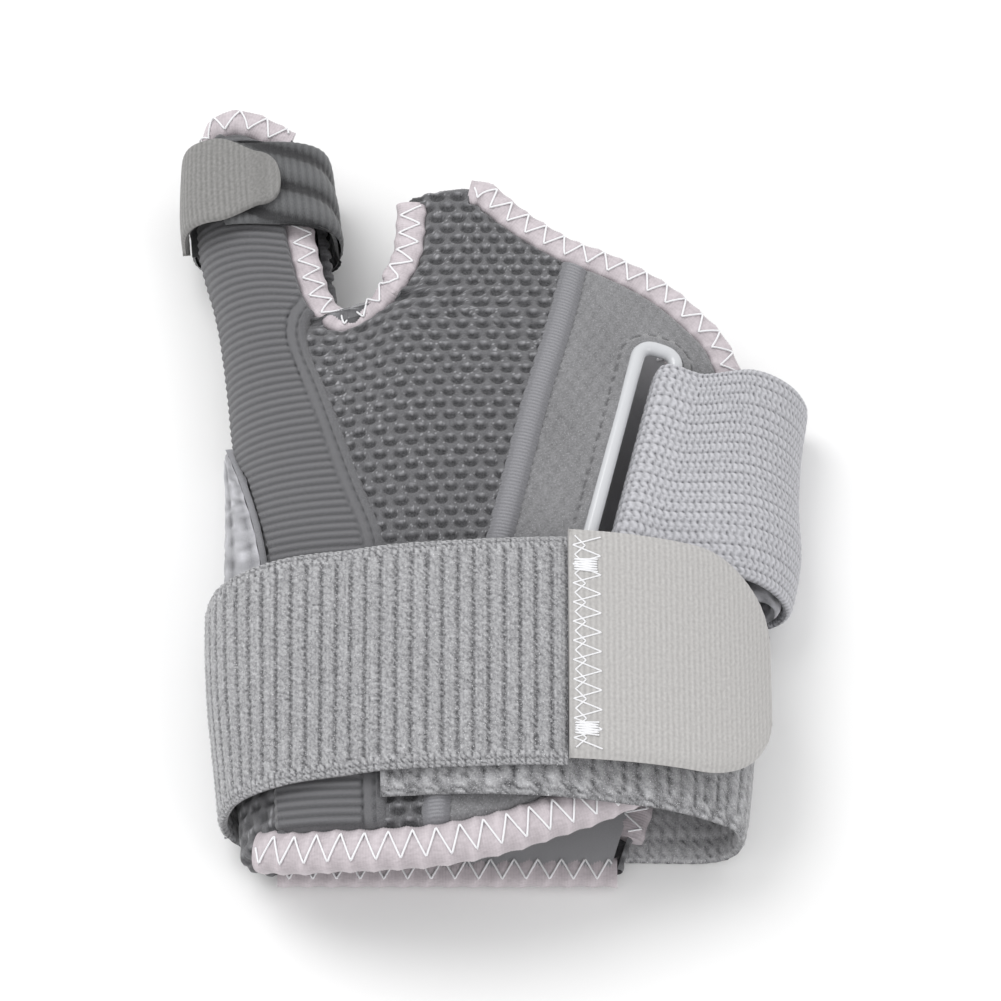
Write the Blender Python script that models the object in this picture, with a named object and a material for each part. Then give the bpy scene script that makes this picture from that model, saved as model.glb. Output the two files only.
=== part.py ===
"""Thumb wrist support: a padded sheet folded round the wrist, with a thumb stay, two elastic
straps and a thumb strap, lying on its back. X is right, Y runs from the wrist to the thumb tip."""
import math

import bpy
import bmesh
from mathutils import Vector

for old in list(bpy.data.objects):
    bpy.data.objects.remove(old, do_unlink=True)

# Driving dimensions, metres
body_length = 0.169
body_half_width = 0.053
body_height = 0.032
side_height = 0.009
under_height = 0.0045
crest_x = -0.004
thumb_height = 0.0195
sheet_thickness = 0.0028
pocket_rise = 0.0012
piping_width = 0.0035
gap = 0.0003

binding_width = 0.0064
binding_thickness = 0.0036
wrist_binding_width = 0.0085
wrist_binding_thickness = 0.0052
back_binding_thickness = 0.0032

strap_width = 0.047
strap_thickness = 0.0018
thumb_strap_width = 0.020
thumb_strap_thickness = 0.0016
tab_thickness = 0.0018
tab_length = 0.040

ring_bar = 0.0029
ring_length = 0.0545
ring_corner = 0.0030
ring_width = 0.0081
ring_tilt = math.radians(13.5)
ring_across = 0.481
ring_along = 0.4817

wrist_y = -0.080

# Section table: share along the body, then shares of the named sizes
# along, left and right (body_half_width), top (body_height), under (under_height)
SECTIONS = (
    (0.00, 0.94, 0.83, 0.86, 0.47),
    (0.11, 0.97, 0.87, 0.94, 0.47),
    (0.24, 0.99, 0.90, 1.00, 1.00),
    (0.30, 0.99, 0.92, 1.00, 1.00),
    (0.34, 0.99, 1.01, 1.00, 1.00),
    (0.53, 1.00, 1.06, 1.00, 1.00),
    (0.63, 1.03, 1.11, 0.97, 1.00),
    (0.73, 1.08, 1.12, 0.91, 0.50),
    (0.83, 1.16, 1.12, 0.84, 0.47),
    (1.00, 1.17, 1.12, 0.80, 0.47),
)
LEFT, RIGHT, TOP, UNDER = 1, 2, 3, 4

# Thumb table: share along, crest and slit side (body_half_width), height (thumb_height)
THUMB = (
    (0.50, 0.80, 0.40, 1.20),
    (0.70, 0.84, 0.42, 1.12),
    (0.83, 0.94, 0.44, 1.02),
    (1.00, 1.03, 0.36, 1.00),
)

# Borders of the front panels: share along, x as a share of body_half_width
PIPING = ((0.00, -0.27), (0.07, -0.26), (0.38, -0.035), (0.49, 0.045), (0.565, 0.10),
          (0.665, 0.185), (0.78, 0.265))

# Binding centre lines: x as a share of body_half_width, share along the body
WEB_LINE = ((-0.815, 0.938), (-0.80, 0.90), (-0.775, 0.835), (-0.75, 0.796), (-0.712, 0.749),
            (-0.664, 0.719), (-0.604, 0.705), (-0.538, 0.707), (-0.47, 0.720), (-0.40, 0.746),
            (-0.362, 0.775), (-0.349, 0.811), (-0.345, 0.850))
PALM_LINE = ((-0.12, 0.868), (-0.06, 0.863), (0.01, 0.841), (0.11, 0.814), (0.255, 0.783),
             (0.41, 0.763), (0.59, 0.733), (0.72, 0.700), (0.84, 0.657), (0.89, 0.59),
             (0.86, 0.47), (0.77, 0.33), (0.66, 0.22), (0.60, 0.165))
WRIST_LINE = ((-0.885, 0.022), (-0.755, 0.009), (-0.60, 0.004), (-0.43, 0.001), (-0.215, 0.003),
              (0.0, 0.016), (0.16, 0.033), (0.32, 0.053), (0.45, 0.074), (0.55, 0.092))


def spline(rows, column, share):
    """Smooth value of one column of a table at a share of its first column."""
    if share <= rows[0][0]:
        return rows[0][column]
    if share >= rows[-1][0]:
        return rows[-1][column]
    k = 0
    while rows[k + 1][0] < share:
        k += 1
    x0, x1 = rows[k][0], rows[k + 1][0]
    y0, y1 = rows[k][column], rows[k + 1][column]
    slope = (y1 - y0) / (x1 - x0)
    before = (y0 - rows[k - 1][column]) / (x0 - rows[k - 1][0]) if k else slope
    after = (rows[k + 2][column] - y1) / (rows[k + 2][0] - x1) if k + 2 < len(rows) else slope
    m0 = (before + slope) / 2 if before * slope > 0 else 0.0
    m1 = (after + slope) / 2 if after * slope > 0 else 0.0
    t = (share - x0) / (x1 - x0)
    h = x1 - x0
    return ((2 * t ** 3 - 3 * t ** 2 + 1) * y0 + (t ** 3 - 2 * t ** 2 + t) * h * m0
            + (3 * t ** 2 - 2 * t ** 3) * y1 + (t ** 3 - t ** 2) * h * m1)


def smooth(t):
    t = min(1.0, max(0.0, t))
    return t * t * (3 - 2 * t)


def lerp(a, b, t):
    return a + (b - a) * t


def along(y):
    return (y - wrist_y) / body_length


def y_at(share):
    return wrist_y + share * body_length


def left_x(y):
    return -body_half_width * spline(SECTIONS, LEFT, along(y))


def right_x(y):
    return body_half_width * spline(SECTIONS, RIGHT, along(y))


def top_z(y):
    return body_height * spline(SECTIONS, TOP, along(y))


def under_z(y):
    return under_height * spline(SECTIONS, UNDER, along(y))


def border_x(rows, y):
    return body_half_width * spline(rows, 1, along(y))


def arch(share):
    return math.sqrt(max(0.0, 1 - share * share))


def dome_z(x, y):
    reach = left_x(y) if x < crest_x else right_x(y)
    share = (x - crest_x) / (reach - crest_x)
    return side_height + (top_z(y) - side_height) * arch(share)


def thumb_z(x, y):
    """Height of the front skin over the thumb, from its own crest."""
    share = along(y)
    crest = -body_half_width * spline(THUMB, 1, share)
    reach = left_x(y) if x < crest else crest + body_half_width * spline(THUMB, 2, share)
    height = thumb_height * spline(THUMB, 3, share)
    return side_height + (height - side_height) * arch((x - crest) / (reach - crest))


def front_z(x, y):
    """Outer skin of the front wing: the wrist's dome runs into the thumb on the left."""
    to_thumb = smooth((along(y) - 0.53) / 0.26) * smooth((-0.40 * body_half_width - x) / 0.012)
    return lerp(dome_z(x, y), thumb_z(x, y), to_thumb)


def skin(x, y):
    return Vector((x, y, front_z(x, y)))


def loop_point(y, turn):
    """Point on the loop round the body. turn 0 to 1 is the left side up to the crest, 1 to 2 the
    right side down, 2 to 2.5 the right turn, 2.5 to 3.5 the underside, 3.5 to 4 the left turn."""
    turn = turn % 4.0
    left, right, low = left_x(y), right_x(y), under_z(y)
    radius = side_height - low
    if turn <= 1:
        a = turn * math.pi / 2
        x = crest_x + (left - crest_x) * math.cos(a)
        return Vector((x, y, lerp(side_height, top_z(y), math.sin(a))))
    if turn <= 2:
        a = (2 - turn) * math.pi / 2
        x = crest_x + (right - crest_x) * math.cos(a)
        return Vector((x, y, lerp(side_height, top_z(y), math.sin(a))))
    if turn <= 2.5:
        a = (turn - 2) * math.pi
        return Vector((right - radius * (1 - math.cos(a)), y, side_height - radius * math.sin(a)))
    if turn <= 3.5:
        return Vector((lerp(right - radius, left + radius, turn - 2.5), y, low))
    a = (4 - turn) * math.pi
    return Vector((left + radius * (1 - math.cos(a)), y, side_height - radius * math.sin(a)))


def loop_turn(x, y):
    """Turn of the loop above plan position x on the front."""
    if x < crest_x:
        share = (x - crest_x) / (left_x(y) - crest_x)
        return math.acos(min(1.0, share)) * 2 / math.pi
    share = (x - crest_x) / (right_x(y) - crest_x)
    return 2 - math.acos(min(1.0, share)) * 2 / math.pi


def centre_on_floor():
    """Move every piece and cutter so that the box of the solids is centred over the origin."""
    corners = [v.co for piece in bpy.data.objects if not piece.hide_render
               for v in piece.data.vertices]
    low = Vector([min(c[k] for c in corners) for k in range(3)])
    high = Vector([max(c[k] for c in corners) for k in range(3)])
    shift = Vector((-(low.x + high.x) / 2, -(low.y + high.y) / 2, -low.z))
    for piece in bpy.data.objects:
        piece.location = shift


def lifted(y, turn, lift, section_y=None):
    """Point of the loop moved outwards by lift, on the section of another y if one is given."""
    at = y if section_y is None else section_y
    here = loop_point(at, turn)
    step = loop_point(at, turn + 0.02) - loop_point(at, turn - 0.02)
    step.y = 0
    out = Vector((-step.z, 0, step.x)).normalized()
    return Vector((here.x, y, here.z)) + out * lift


def normals(grid):
    rows, columns = len(grid), len(grid[0])
    result = []
    for i in range(rows):
        line = []
        for j in range(columns):
            down = grid[min(i + 1, rows - 1)][j] - grid[max(i - 1, 0)][j]
            across = grid[i][min(j + 1, columns - 1)] - grid[i][max(j - 1, 0)]
            line.append(across.cross(down).normalized())
        result.append(line)
    return result


def make(name, vertices, faces, material):
    mesh = bpy.data.meshes.new(name)
    mesh.from_pydata([tuple(v) for v in vertices], [], faces)
    mesh.validate()
    work = bmesh.new()
    work.from_mesh(mesh)
    bmesh.ops.recalc_face_normals(work, faces=work.faces)
    work.to_mesh(mesh)
    work.free()
    mesh.shade_smooth()
    mesh.set_sharp_from_angle(angle=math.radians(40))
    mesh.materials.append(material)
    piece = bpy.data.objects.new(name, mesh)
    bpy.context.scene.collection.objects.link(piece)
    return piece


def slab(name, grid, outward, inward, material, keep=None):
    """Closed solid from a grid of skin points, thickened both ways along its normals."""
    rows, columns = len(grid), len(grid[0])
    keep = keep or (lambda i, j: True)
    out = normals(grid)
    number = {}
    vertices = []

    def vertex(i, j, side):
        key = (i, j, side)
        if key not in number:
            number[key] = len(vertices)
            vertices.append(grid[i][j] + out[i][j] * (outward if side else -inward))
        return number[key]

    def kept(i, j):
        return 0 <= i < rows - 1 and 0 <= j < columns - 1 and keep(i, j)

    faces = []
    for i in range(rows - 1):
        for j in range(columns - 1):
            if not kept(i, j):
                continue
            ring = [(i, j), (i, j + 1), (i + 1, j + 1), (i + 1, j)]
            faces.append([vertex(a, b, 1) for a, b in ring])
            faces.append([vertex(a, b, 0) for a, b in reversed(ring)])
            beyond = [(i - 1, j), (i, j + 1), (i + 1, j), (i, j - 1)]
            for k, cell in enumerate(beyond):
                if not kept(*cell):
                    (a, b), (c, d) = ring[k], ring[(k + 1) % 4]
                    faces.append([vertex(a, b, 1), vertex(a, b, 0), vertex(c, d, 0),
                                  vertex(c, d, 1)])
    return make(name, vertices, faces, material)


def bar(name, centres, ups, width, thickness, material, around=10, power=0.7):
    """Closed bar of oval section along a line of points, flat side towards ups."""
    vertices = []
    last = len(centres) - 1
    for i, centre in enumerate(centres):
        ahead = (centres[min(i + 1, last)] - centres[max(i - 1, 0)]).normalized()
        side = ahead.cross(ups[i]).normalized()
        up = side.cross(ahead).normalized()
        for k in range(around):
            a = 2 * math.pi * (k + 0.5) / around
            c, s = math.cos(a), math.sin(a)
            across = math.copysign(abs(c) ** power, c) * width / 2
            rise = math.copysign(abs(s) ** power, s) * thickness / 2
            vertices.append(centre + side * across + up * rise)
    faces = [list(range(around))[::-1], [last * around + k for k in range(around)]]
    for i in range(last):
        for k in range(around):
            n = (k + 1) % around
            faces.append([i * around + k, i * around + n, (i + 1) * around + n,
                          (i + 1) * around + k])
    return make(name, vertices, faces, material)


def curve_points(points, count):
    """Evenly spaced points on a smooth curve through the given ones."""
    dense = []
    last = len(points) - 1
    for k in range(last):
        p0, p1 = points[max(k - 1, 0)], points[k]
        p2, p3 = points[k + 1], points[min(k + 2, last)]
        for n in range(12):
            t = n / 12
            dense.append(0.5 * (2 * p1 + (p2 - p0) * t + (2 * p0 - 5 * p1 + 4 * p2 - p3) * t ** 2
                                + (3 * p1 - p0 - 3 * p2 + p3) * t ** 3))
    dense.append(points[-1])
    lengths = [0.0]
    for a, b in zip(dense, dense[1:]):
        lengths.append(lengths[-1] + (b - a).length)
    result = []
    k = 0
    for n in range(count):
        goal = lengths[-1] * n / (count - 1)
        while k < len(dense) - 2 and lengths[k + 1] < goal:
            k += 1
        share = (goal - lengths[k]) / (lengths[k + 1] - lengths[k])
        result.append(dense[k].lerp(dense[k + 1], min(1.0, share)))
    return result


def material(name, colour, roughness, metallic=0.0):
    result = bpy.data.materials.new(name)
    result.use_nodes = True
    shader = result.node_tree.nodes["Principled BSDF"]
    shader.inputs["Base Color"].default_value = (*colour, 1)
    shader.inputs["Roughness"].default_value = roughness
    shader.inputs["Metallic"].default_value = metallic
    return result


def cut(piece, cutter):
    """Take a clearance cutter out of a piece."""
    cutter.hide_render = True
    cutter.display_type = "WIRE"
    tool = piece.modifiers.new("clearance", "BOOLEAN")
    tool.operation = "DIFFERENCE"
    tool.solver = "EXACT"
    tool.object = cutter


def front_line(rows, count):
    """Centre points of a binding on the front wing, and the skin's normals there."""
    flat = curve_points([Vector((x * body_half_width, y_at(s), 0)) for x, s in rows], count)
    centres, ups = [], []
    for p in flat:
        step = 0.0006
        here = skin(p.x, p.y)
        up = (skin(p.x + step, p.y) - skin(p.x - step, p.y)).cross(
            skin(p.x, p.y + step) - skin(p.x, p.y - step)).normalized()
        centres.append(here - up * sheet_thickness / 2)
        ups.append(up)
    return centres, ups


def bound_edge(name, line, width, thickness, colour):
    """A binding and the cutter that clears its seat in the panels."""
    centres, ups = line
    piece = bar(name, centres, ups, width, thickness, colour)
    ends = [centres[0] * 2 - centres[1]] + centres + [centres[-1] * 2 - centres[-2]]
    seat = bar(name + "_seat", ends, [ups[0]] + ups + [ups[-1]], width + 2 * gap,
               thickness + 2 * gap + 0.0045, colour)
    return piece, seat


# More borders: share along, x as a share (STAY_EDGE of the way from crest to left side)
STAY_EDGE = ((0.00, 0.815), (0.05, 0.815), (0.367, 0.833), (0.444, 0.891), (0.50, 0.94),
             (0.534, 0.98), (0.57, 0.995))
POCKET_RIGHT = ((0.00, -0.43), (0.10, -0.44), (0.37, -0.45), (0.455, -0.54), (0.59, -0.68),
                (0.66, -0.755), (0.69, -0.765), (0.71, -0.735), (0.735, -0.705),
                (0.749, -0.712), (0.796, -0.75), (0.835, -0.775), (0.90, -0.80), (0.985, -0.83))
MESH_LEFT = ((0.00, -0.43), (0.10, -0.44), (0.37, -0.45), (0.455, -0.54), (0.59, -0.68),
             (0.66, -0.755), (0.69, -0.765), (0.705, -0.62), (0.708, -0.538), (0.720, -0.47),
             (0.746, -0.40), (0.775, -0.362), (0.811, -0.349), (0.86, -0.345))
FREE_EDGE = ((0.00, 0.42), (0.165, 0.60), (0.22, 0.66), (0.33, 0.77), (0.47, 0.86),
             (0.59, 0.89), (0.657, 0.84))
TIP = ((0.0, 0.955), (0.25, 0.985), (0.6, 0.990), (1.0, 0.965))
BACK_TOP = ((0.0, 0.858), (0.2, 0.84), (0.45, 0.79), (0.75, 0.74), (1.0, 0.64))
BACK_FREE = ((0.00, 0.40), (0.20, 0.60), (0.33, 0.73), (0.47, 0.82), (0.59, 0.85), (0.66, 0.82))
TROUGH_RIGHT = ((0.68, -0.61), (0.83, -0.665), (1.0, -0.75))
BACK_WEB = ((0.68, -0.58), (0.72, -0.50), (0.75, -0.42), (0.80, -0.37), (0.86, -0.36))


def stay_edge(y):
    return lerp(crest_x, left_x(y), spline(STAY_EDGE, 1, along(y)))


def base_share(x):
    return spline(WRIST_LINE, 1, x / body_half_width)


def front_grid(left, right, top, rows, columns, ease=False):
    """Grid of skin points between two borders, from the wrist line to the share top(u, x)."""
    grid = []
    for i in range(rows + 1):
        line = []
        for j in range(columns + 1):
            u = j / columns
            if ease:
                u = 1 - math.cos(u * math.pi / 2)
            base = base_share(lerp(left(wrist_y), right(wrist_y), u))
            share = lerp(base, top(j / columns), i / rows)
            y = y_at(share)
            line.append(skin(lerp(left(y), right(y), u), y))
        grid.append(line)
    return grid


def border(rows, shift=0.0):
    return lambda y: border_x(rows, y) + shift


def stay_pocket():
    return front_grid(stay_edge, border(POCKET_RIGHT, -gap / 2), lambda u: spline(TIP, 1, u),
                      40, 10, ease=True)


def pocket_seat():
    """The stay pocket grown by the gap, which clears its place in the sheets beside it."""
    return front_grid(lambda y: stay_edge(y) - 2 * gap, border(POCKET_RIGHT, gap),
                      lambda u: spline(TIP, 1, u) + 0.01, 40, 10, ease=True)


def mesh_panel():
    left, right = border(MESH_LEFT, gap / 2), border(PIPING, -gap / 2)
    tops = ((0.0, 0.858), (0.35, 0.866), (0.6, 0.83), (1.0, 0.783))
    return front_grid(left, right, lambda u: spline(tops, 1, u), 42, 8)


def piping():
    left, right = border(PIPING, gap / 2), border(PIPING, gap / 2 + piping_width)
    return front_grid(left, right, lambda u: lerp(0.783, 0.775, u), 24, 1)


def flannel():
    left = border(PIPING, 1.5 * gap + piping_width)
    tops = ((0.0, 0.773), (0.25, 0.757), (0.55, 0.725), (0.8, 0.69), (1.0, 0.657))
    return front_grid(left, border(FREE_EDGE), lambda u: spline(tops, 1, u), 24, 8)


low_rows = 12
high_rows = 8
side_steps = (0.0, 0.9, 0.6, 0.3, 0.08)
turn_steps = 3
sheet_side_columns = len(side_steps) + turn_steps
thumb_columns = sheet_side_columns + 3
palm_columns = 6


def back_point(i, j):
    """Point of the back sheet: columns run from the stay's edge round the left and underneath,
    rows from the wrist to the thumb tip or the palm edge, with the web between them."""
    low = min(i, low_rows) / low_rows
    high = max(0, i - low_rows) / high_rows
    if j > thumb_columns:
        u = (j - thumb_columns - 1) / (palm_columns - 1)
        top = spline(BACK_TOP, 1, u)
        share = lerp(low * top * 0.79, top, high)
        y = y_at(0.028 + share * (1 - 0.028 / 0.858))
        x = lerp(border_x(BACK_WEB, y), border_x(BACK_FREE, y), u)
        return Vector((x, y, under_z(y)))
    y = y_at(lerp(0.028 + low * (0.70 - 0.028), 0.93, high))
    left = left_x(y)
    if j == 0:
        edge = stay_edge(y)
        return skin(edge, y)
    if j < len(side_steps):
        return skin(lerp(left, stay_edge(y), side_steps[j]), y)
    if j <= sheet_side_columns:
        return loop_point(y, 4 - 0.5 * (j - len(side_steps)) / turn_steps)
    right = border_x(TROUGH_RIGHT, y)
    start = left + side_height - under_z(y)
    rise = smooth((along(y) - 0.62) / 0.16)
    if j == thumb_columns:
        return Vector((right, y, under_z(y) + 0.0075 * rise))
    shift = (j - sheet_side_columns) / (thumb_columns - sheet_side_columns)
    x = lerp(start, right - 0.0010 * rise, shift * 1.1)
    lift = 0.0014 * rise if j == thumb_columns - 1 else 0.0
    return Vector((x, y, under_z(y) + lift))


def back_grid():
    rows = low_rows + high_rows + 1
    columns = thumb_columns + palm_columns + 1
    return [[back_point(i, j) for j in range(columns)] for i in range(rows)]


def back_kept(i, j):
    return not (i >= low_rows and j == thumb_columns)


def ring_frame():
    """Centre of the ring and its directions: along its bars, across, and out of the skin."""
    centre_x, centre_y = ring_across * body_half_width, y_at(ring_along)
    centre = skin(centre_x, centre_y)
    half = ring_length / 2
    dx, dy = math.sin(ring_tilt), math.cos(ring_tilt)
    far = skin(centre_x + dx * half, centre_y + dy * half)
    near = skin(centre_x - dx * half, centre_y - dy * half)
    right = skin(centre_x + dy * 0.006, centre_y - dx * 0.006)
    left = skin(centre_x - dy * 0.006, centre_y + dx * 0.006)
    u = (far - near).normalized()
    n = (right - left).cross(u).normalized()
    v = u.cross(n).normalized()
    middle = (far + near + right + left + centre) / 5
    return middle + n * 0.0003, u, v, n


def in_ring(u, v, n):
    centre, along_u, along_v, along_n = ring_frame()
    return centre + along_u * u + along_v * v + along_n * n


def ring_outline(extra):
    """Closed outline of the ring's centre line grown by extra, in ring coordinates."""
    radius = ring_corner + extra
    reach_u = ring_length / 2 - ring_corner
    reach_v = ring_width / 2 - ring_corner
    points = []
    for side_u, side_v, start in ((1, 1, 0), (-1, 1, 90), (-1, -1, 180), (1, -1, 270)):
        for k in range(5):
            a = math.radians(start + 22.5 * k)
            points.append((side_u * reach_u + radius * math.cos(a),
                           side_v * reach_v + radius * math.sin(a)))
    return points


def slot_ring(colour):
    outline = ring_outline(0.0)
    around = 8
    vertices, faces = [], []
    count = len(outline)
    _, _, _, up = ring_frame()
    for k in range(count):
        here = in_ring(*outline[k], 0)
        ahead = (in_ring(*outline[(k + 1) % count], 0)
                 - in_ring(*outline[k - 1], 0)).normalized()
        side = ahead.cross(up)
        for m in range(around):
            a = 2 * math.pi * m / around
            vertices.append(here + side * math.cos(a) * ring_bar / 2
                            + up * math.sin(a) * ring_bar / 2)
    for k in range(count):
        for m in range(around):
            n = (m + 1) % around
            o = (k + 1) % count
            faces.append([k * around + m, k * around + n, o * around + n, o * around + m])
    return make("slot_ring", vertices, faces, colour)


def ring_slot_cutter(colour):
    outline = ring_outline(ring_bar / 2 + gap)
    count = len(outline)
    vertices = [in_ring(u, v, 0.006) for u, v in outline]
    vertices += [in_ring(u, v, -0.009) for u, v in outline]
    faces = [list(range(count)), list(range(count, 2 * count))[::-1]]
    for k in range(count):
        o = (k + 1) % count
        faces.append([k, o, count + o, count + k])
    return make("ring_slot", vertices, faces, colour)


# Wrist strap: turn round the body (or x on the front), near edge's y, lift at near and far edge
WRIST_INNER = (
    ("x", -0.0225, -0.0706, 0.0005, 0.0005),
    ("x", -0.0080, -0.0708, 0.0008, 0.0008),
    ("x", 0.0080, -0.0714, 0.0020, 0.0018),
    ("x", 0.0200, -0.0720, 0.0024, 0.0030),
    ("x", 0.0320, -0.0724, 0.0027, 0.0034),
    ("turn", 1.80, -0.0728, 0.0026, 0.0034),
    ("turn", 2.00, -0.0728, 0.0006, 0.0012),
    ("turn", 2.25, -0.0726, 0.0004, 0.0020),
    ("floor", 2.50, -0.0724, 0.0, 0.0),
    ("floor", 2.80, -0.0720, 0.0, 0.0),
    ("floor", 3.20, -0.0712, 0.0, 0.0),
    ("floor", 3.50, -0.0705, 0.0, 0.0),
    ("turn", 3.75, -0.0698, 0.0012, 0.0040),
    ("turn", 4.00, -0.0690, 0.0020, 0.0044),
    ("turn", 4.20, -0.0680, 0.0030, 0.0050),
    ("x", -0.0440, -0.0672, 0.0030, 0.0048),
    ("x", -0.0370, -0.0667, 0.0026, 0.0038),
    ("x", -0.0290, -0.0665, 0.0020, 0.0024),
    ("x", -0.0215, -0.0665, 0.0029, 0.0030),
    ("x", -0.0080, -0.0665, 0.0031, 0.0036),
    ("x", 0.0060, -0.0665, 0.0044, 0.0052),
    ("x", 0.0120, -0.0665, 0.0048, 0.0060),
)


def wrist_row(kind, place, near_y, near_lift, far_lift, columns=6):
    line = []
    for j in range(columns + 1):
        w = j / columns
        y = near_y + w * strap_width
        section = min(y, -0.030)
        lift = lerp(near_lift, far_lift, smooth(w)) + strap_thickness / 2
        turn = place if kind != "x" else loop_turn(place, section)
        point = lifted(y, turn, lift, section)
        if kind == "floor":
            point.z = strap_thickness / 2
        line.append(point)
    return line


def between(rows, k, j, t):
    """Point on a smooth curve down column j, a share t of the way from row k to the next."""
    p0, p1 = rows[max(k - 1, 0)][j], rows[k][j]
    p2, p3 = rows[k + 1][j], rows[min(k + 2, len(rows) - 1)][j]
    span = (p2 - p1).length
    m1 = (p2 - p0) * span / max((p1 - p0).length + span, 1e-9)
    m2 = (p3 - p1) * span / max((p3 - p2).length + span, 1e-9)
    return (p1 * (2 * t ** 3 - 3 * t ** 2 + 1) + m1 * (t ** 3 - 2 * t ** 2 + t)
            + p2 * (3 * t ** 2 - 2 * t ** 3) + m2 * (t ** 3 - t ** 2))


def smooth_rows(rows, step):
    """Rows at most a step apart on smooth curves through the given ones."""
    columns = len(rows[0])
    middle = columns // 2
    result = []
    last = len(rows) - 1
    for k in range(last):
        span = (rows[k + 1][middle] - rows[k][middle]).length
        parts = max(1, math.ceil(span / step))
        for n in range(parts):
            result.append([between(rows, k, j, n / parts) for j in range(columns)])
    result.append(rows[-1])
    for row in result:
        for point in row:
            point.z = max(point.z, strap_thickness / 2)
    return result


def wrist_strap():
    return smooth_rows([wrist_row(*row) for row in WRIST_INNER], 0.0048)


def tab_height(x, w):
    full = lerp(0.0376, 0.0412, w) - side_height
    share = (x - crest_x) / 0.060
    return side_height + full * math.sqrt(max(0.0, 1 - share ** 2.4))


def wrist_tab():
    start, corner = 0.0131, 0.014
    grid = []
    for i in range(17):
        x = start + tab_length * i / 16 * 0.97
        inset = max(0.0, x - (start + tab_length * 0.97 - corner))
        cut_back = corner - math.sqrt(max(0.0, corner ** 2 - inset ** 2))
        line = []
        for j in range(7):
            w = j / 6
            y = lerp(-0.0662 + cut_back, -0.0662 + strap_width - cut_back, w)
            line.append(Vector((x, y, tab_height(x, (y + 0.0662) / strap_width))))
        grid.append(line)
    return grid


def ring_strap():
    """Strap from the stay's edge, round the left, under the back, round the right, up through
    the ring, over its bar, round the right again and back underneath."""
    half = strap_thickness / 2
    far_y, near_y = 0.0250, -0.0220

    def row(turn, y_far, y_near, lift):
        line = []
        for j in range(5):
            w = j / 4
            y = lerp(y_near, y_far, w)
            section = max(y, -0.0225) if 1.0 < turn % 4 < 2.6 else y
            line.append(lifted(y, turn, lift + half, section))
        return line

    def start_row(share):
        line = []
        for j in range(5):
            y = lerp(-0.0340, 0.0140, j / 4)
            edge = stay_edge(y)
            turn = (loop_turn(edge, y) - 0.024) * share
            line.append(lifted(y, turn, 0.0009 + half))
        return line

    def ring_row(v, n):
        return [in_ring(lerp(-strap_width / 2, strap_width / 2, j / 4), v, n) for j in range(5)]

    rows = [start_row(1.0), start_row(0.72), start_row(0.42)]
    rows.append(row(4.00, 0.0142, -0.0328, 0.0010))
    rows.append(row(3.75, 0.0146, -0.0324, 0.0007))
    rows.append(row(3.50, 0.0150, -0.0320, 0.0006))
    rows.append(row(3.10, 0.0190, -0.0280, 0.0006))
    rows.append(row(2.80, 0.0235, -0.0240, 0.0006))
    rows.append(row(2.50, 0.0250, -0.0220, 0.0006))
    rows.append(row(2.25, far_y, near_y, 0.0003))
    rows.append(row(2.00, far_y, near_y, 0.0))
    rows.append(row(1.86, far_y, near_y, -0.0008))
    rows.append(row(1.74, far_y, near_y, -0.0056))
    bar_v = ring_width / 2
    wrap = ring_bar / 2 + gap + half
    rows.append(ring_row(bar_v + 0.0100, -0.0072))
    rows.append(ring_row(bar_v + 0.003, -0.0058))
    rows.append(ring_row(bar_v - wrap * 0.7, -0.0044))
    rows.append(ring_row(bar_v - wrap * 1.03, -0.0020))
    for degrees in (180, 158, 135, 112, 90):
        a = math.radians(degrees)
        rows.append(ring_row(bar_v + wrap * math.cos(a), wrap * math.sin(a)))
    rows.append(ring_row(bar_v + 0.005, 0.0025))
    outer = strap_thickness + gap * 1.5
    rows.append(row(1.64, far_y + 0.0004, near_y + 0.0002, outer + 0.0006))
    rows.append(row(1.80, far_y + 0.0002, near_y, outer + 0.0004))
    rows.append(row(2.00, far_y, near_y, outer + 0.0001))
    rows.append(row(2.25, far_y, near_y, outer + 0.0003))
    rows.append(row(2.50, far_y, near_y, 0.0027))
    rows.append(row(2.70, far_y, near_y, 0.0027))
    rows.append(row(2.88, far_y, near_y, 0.0027))
    return smooth_rows(rows, 0.0045)


def thumb_loop(y, degrees, lift):
    """Point on the loop round the thumb, degrees from its right side over the top."""
    left = left_x(y) - 0.0009
    right = border_x(TROUGH_RIGHT, y) + 0.0012
    top = thumb_height + pocket_rise + 0.0012
    low = thumb_strap_thickness
    a = math.radians(degrees)
    c, s = math.cos(a), math.sin(a)
    power = 0.62
    x = (left + right) / 2 + math.copysign(abs(c) ** power, c) * ((right - left) / 2 + lift)
    z = (top + low) / 2 + math.copysign(abs(s) ** power, s) * ((top - low) / 2 + lift)
    return Vector((x, y, z))


def thumb_rows(first, last, count, lift, corner=0.0):
    near, far = 0.0606, 0.0606 + thumb_strap_width
    grid = []
    for i in range(count):
        degrees = lerp(first, last, i / (count - 1))
        inset = 0.0
        if corner:
            run = max(0.0, 1 - (count - 1 - i) / (count - 1) * 3.2)
            inset = corner * (1 - math.sqrt(max(0.0, 1 - run * run)))
        grid.append([thumb_loop(lerp(near + inset, far - inset, j / 4), degrees, lift)
                     for j in range(5)])
    return grid


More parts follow.
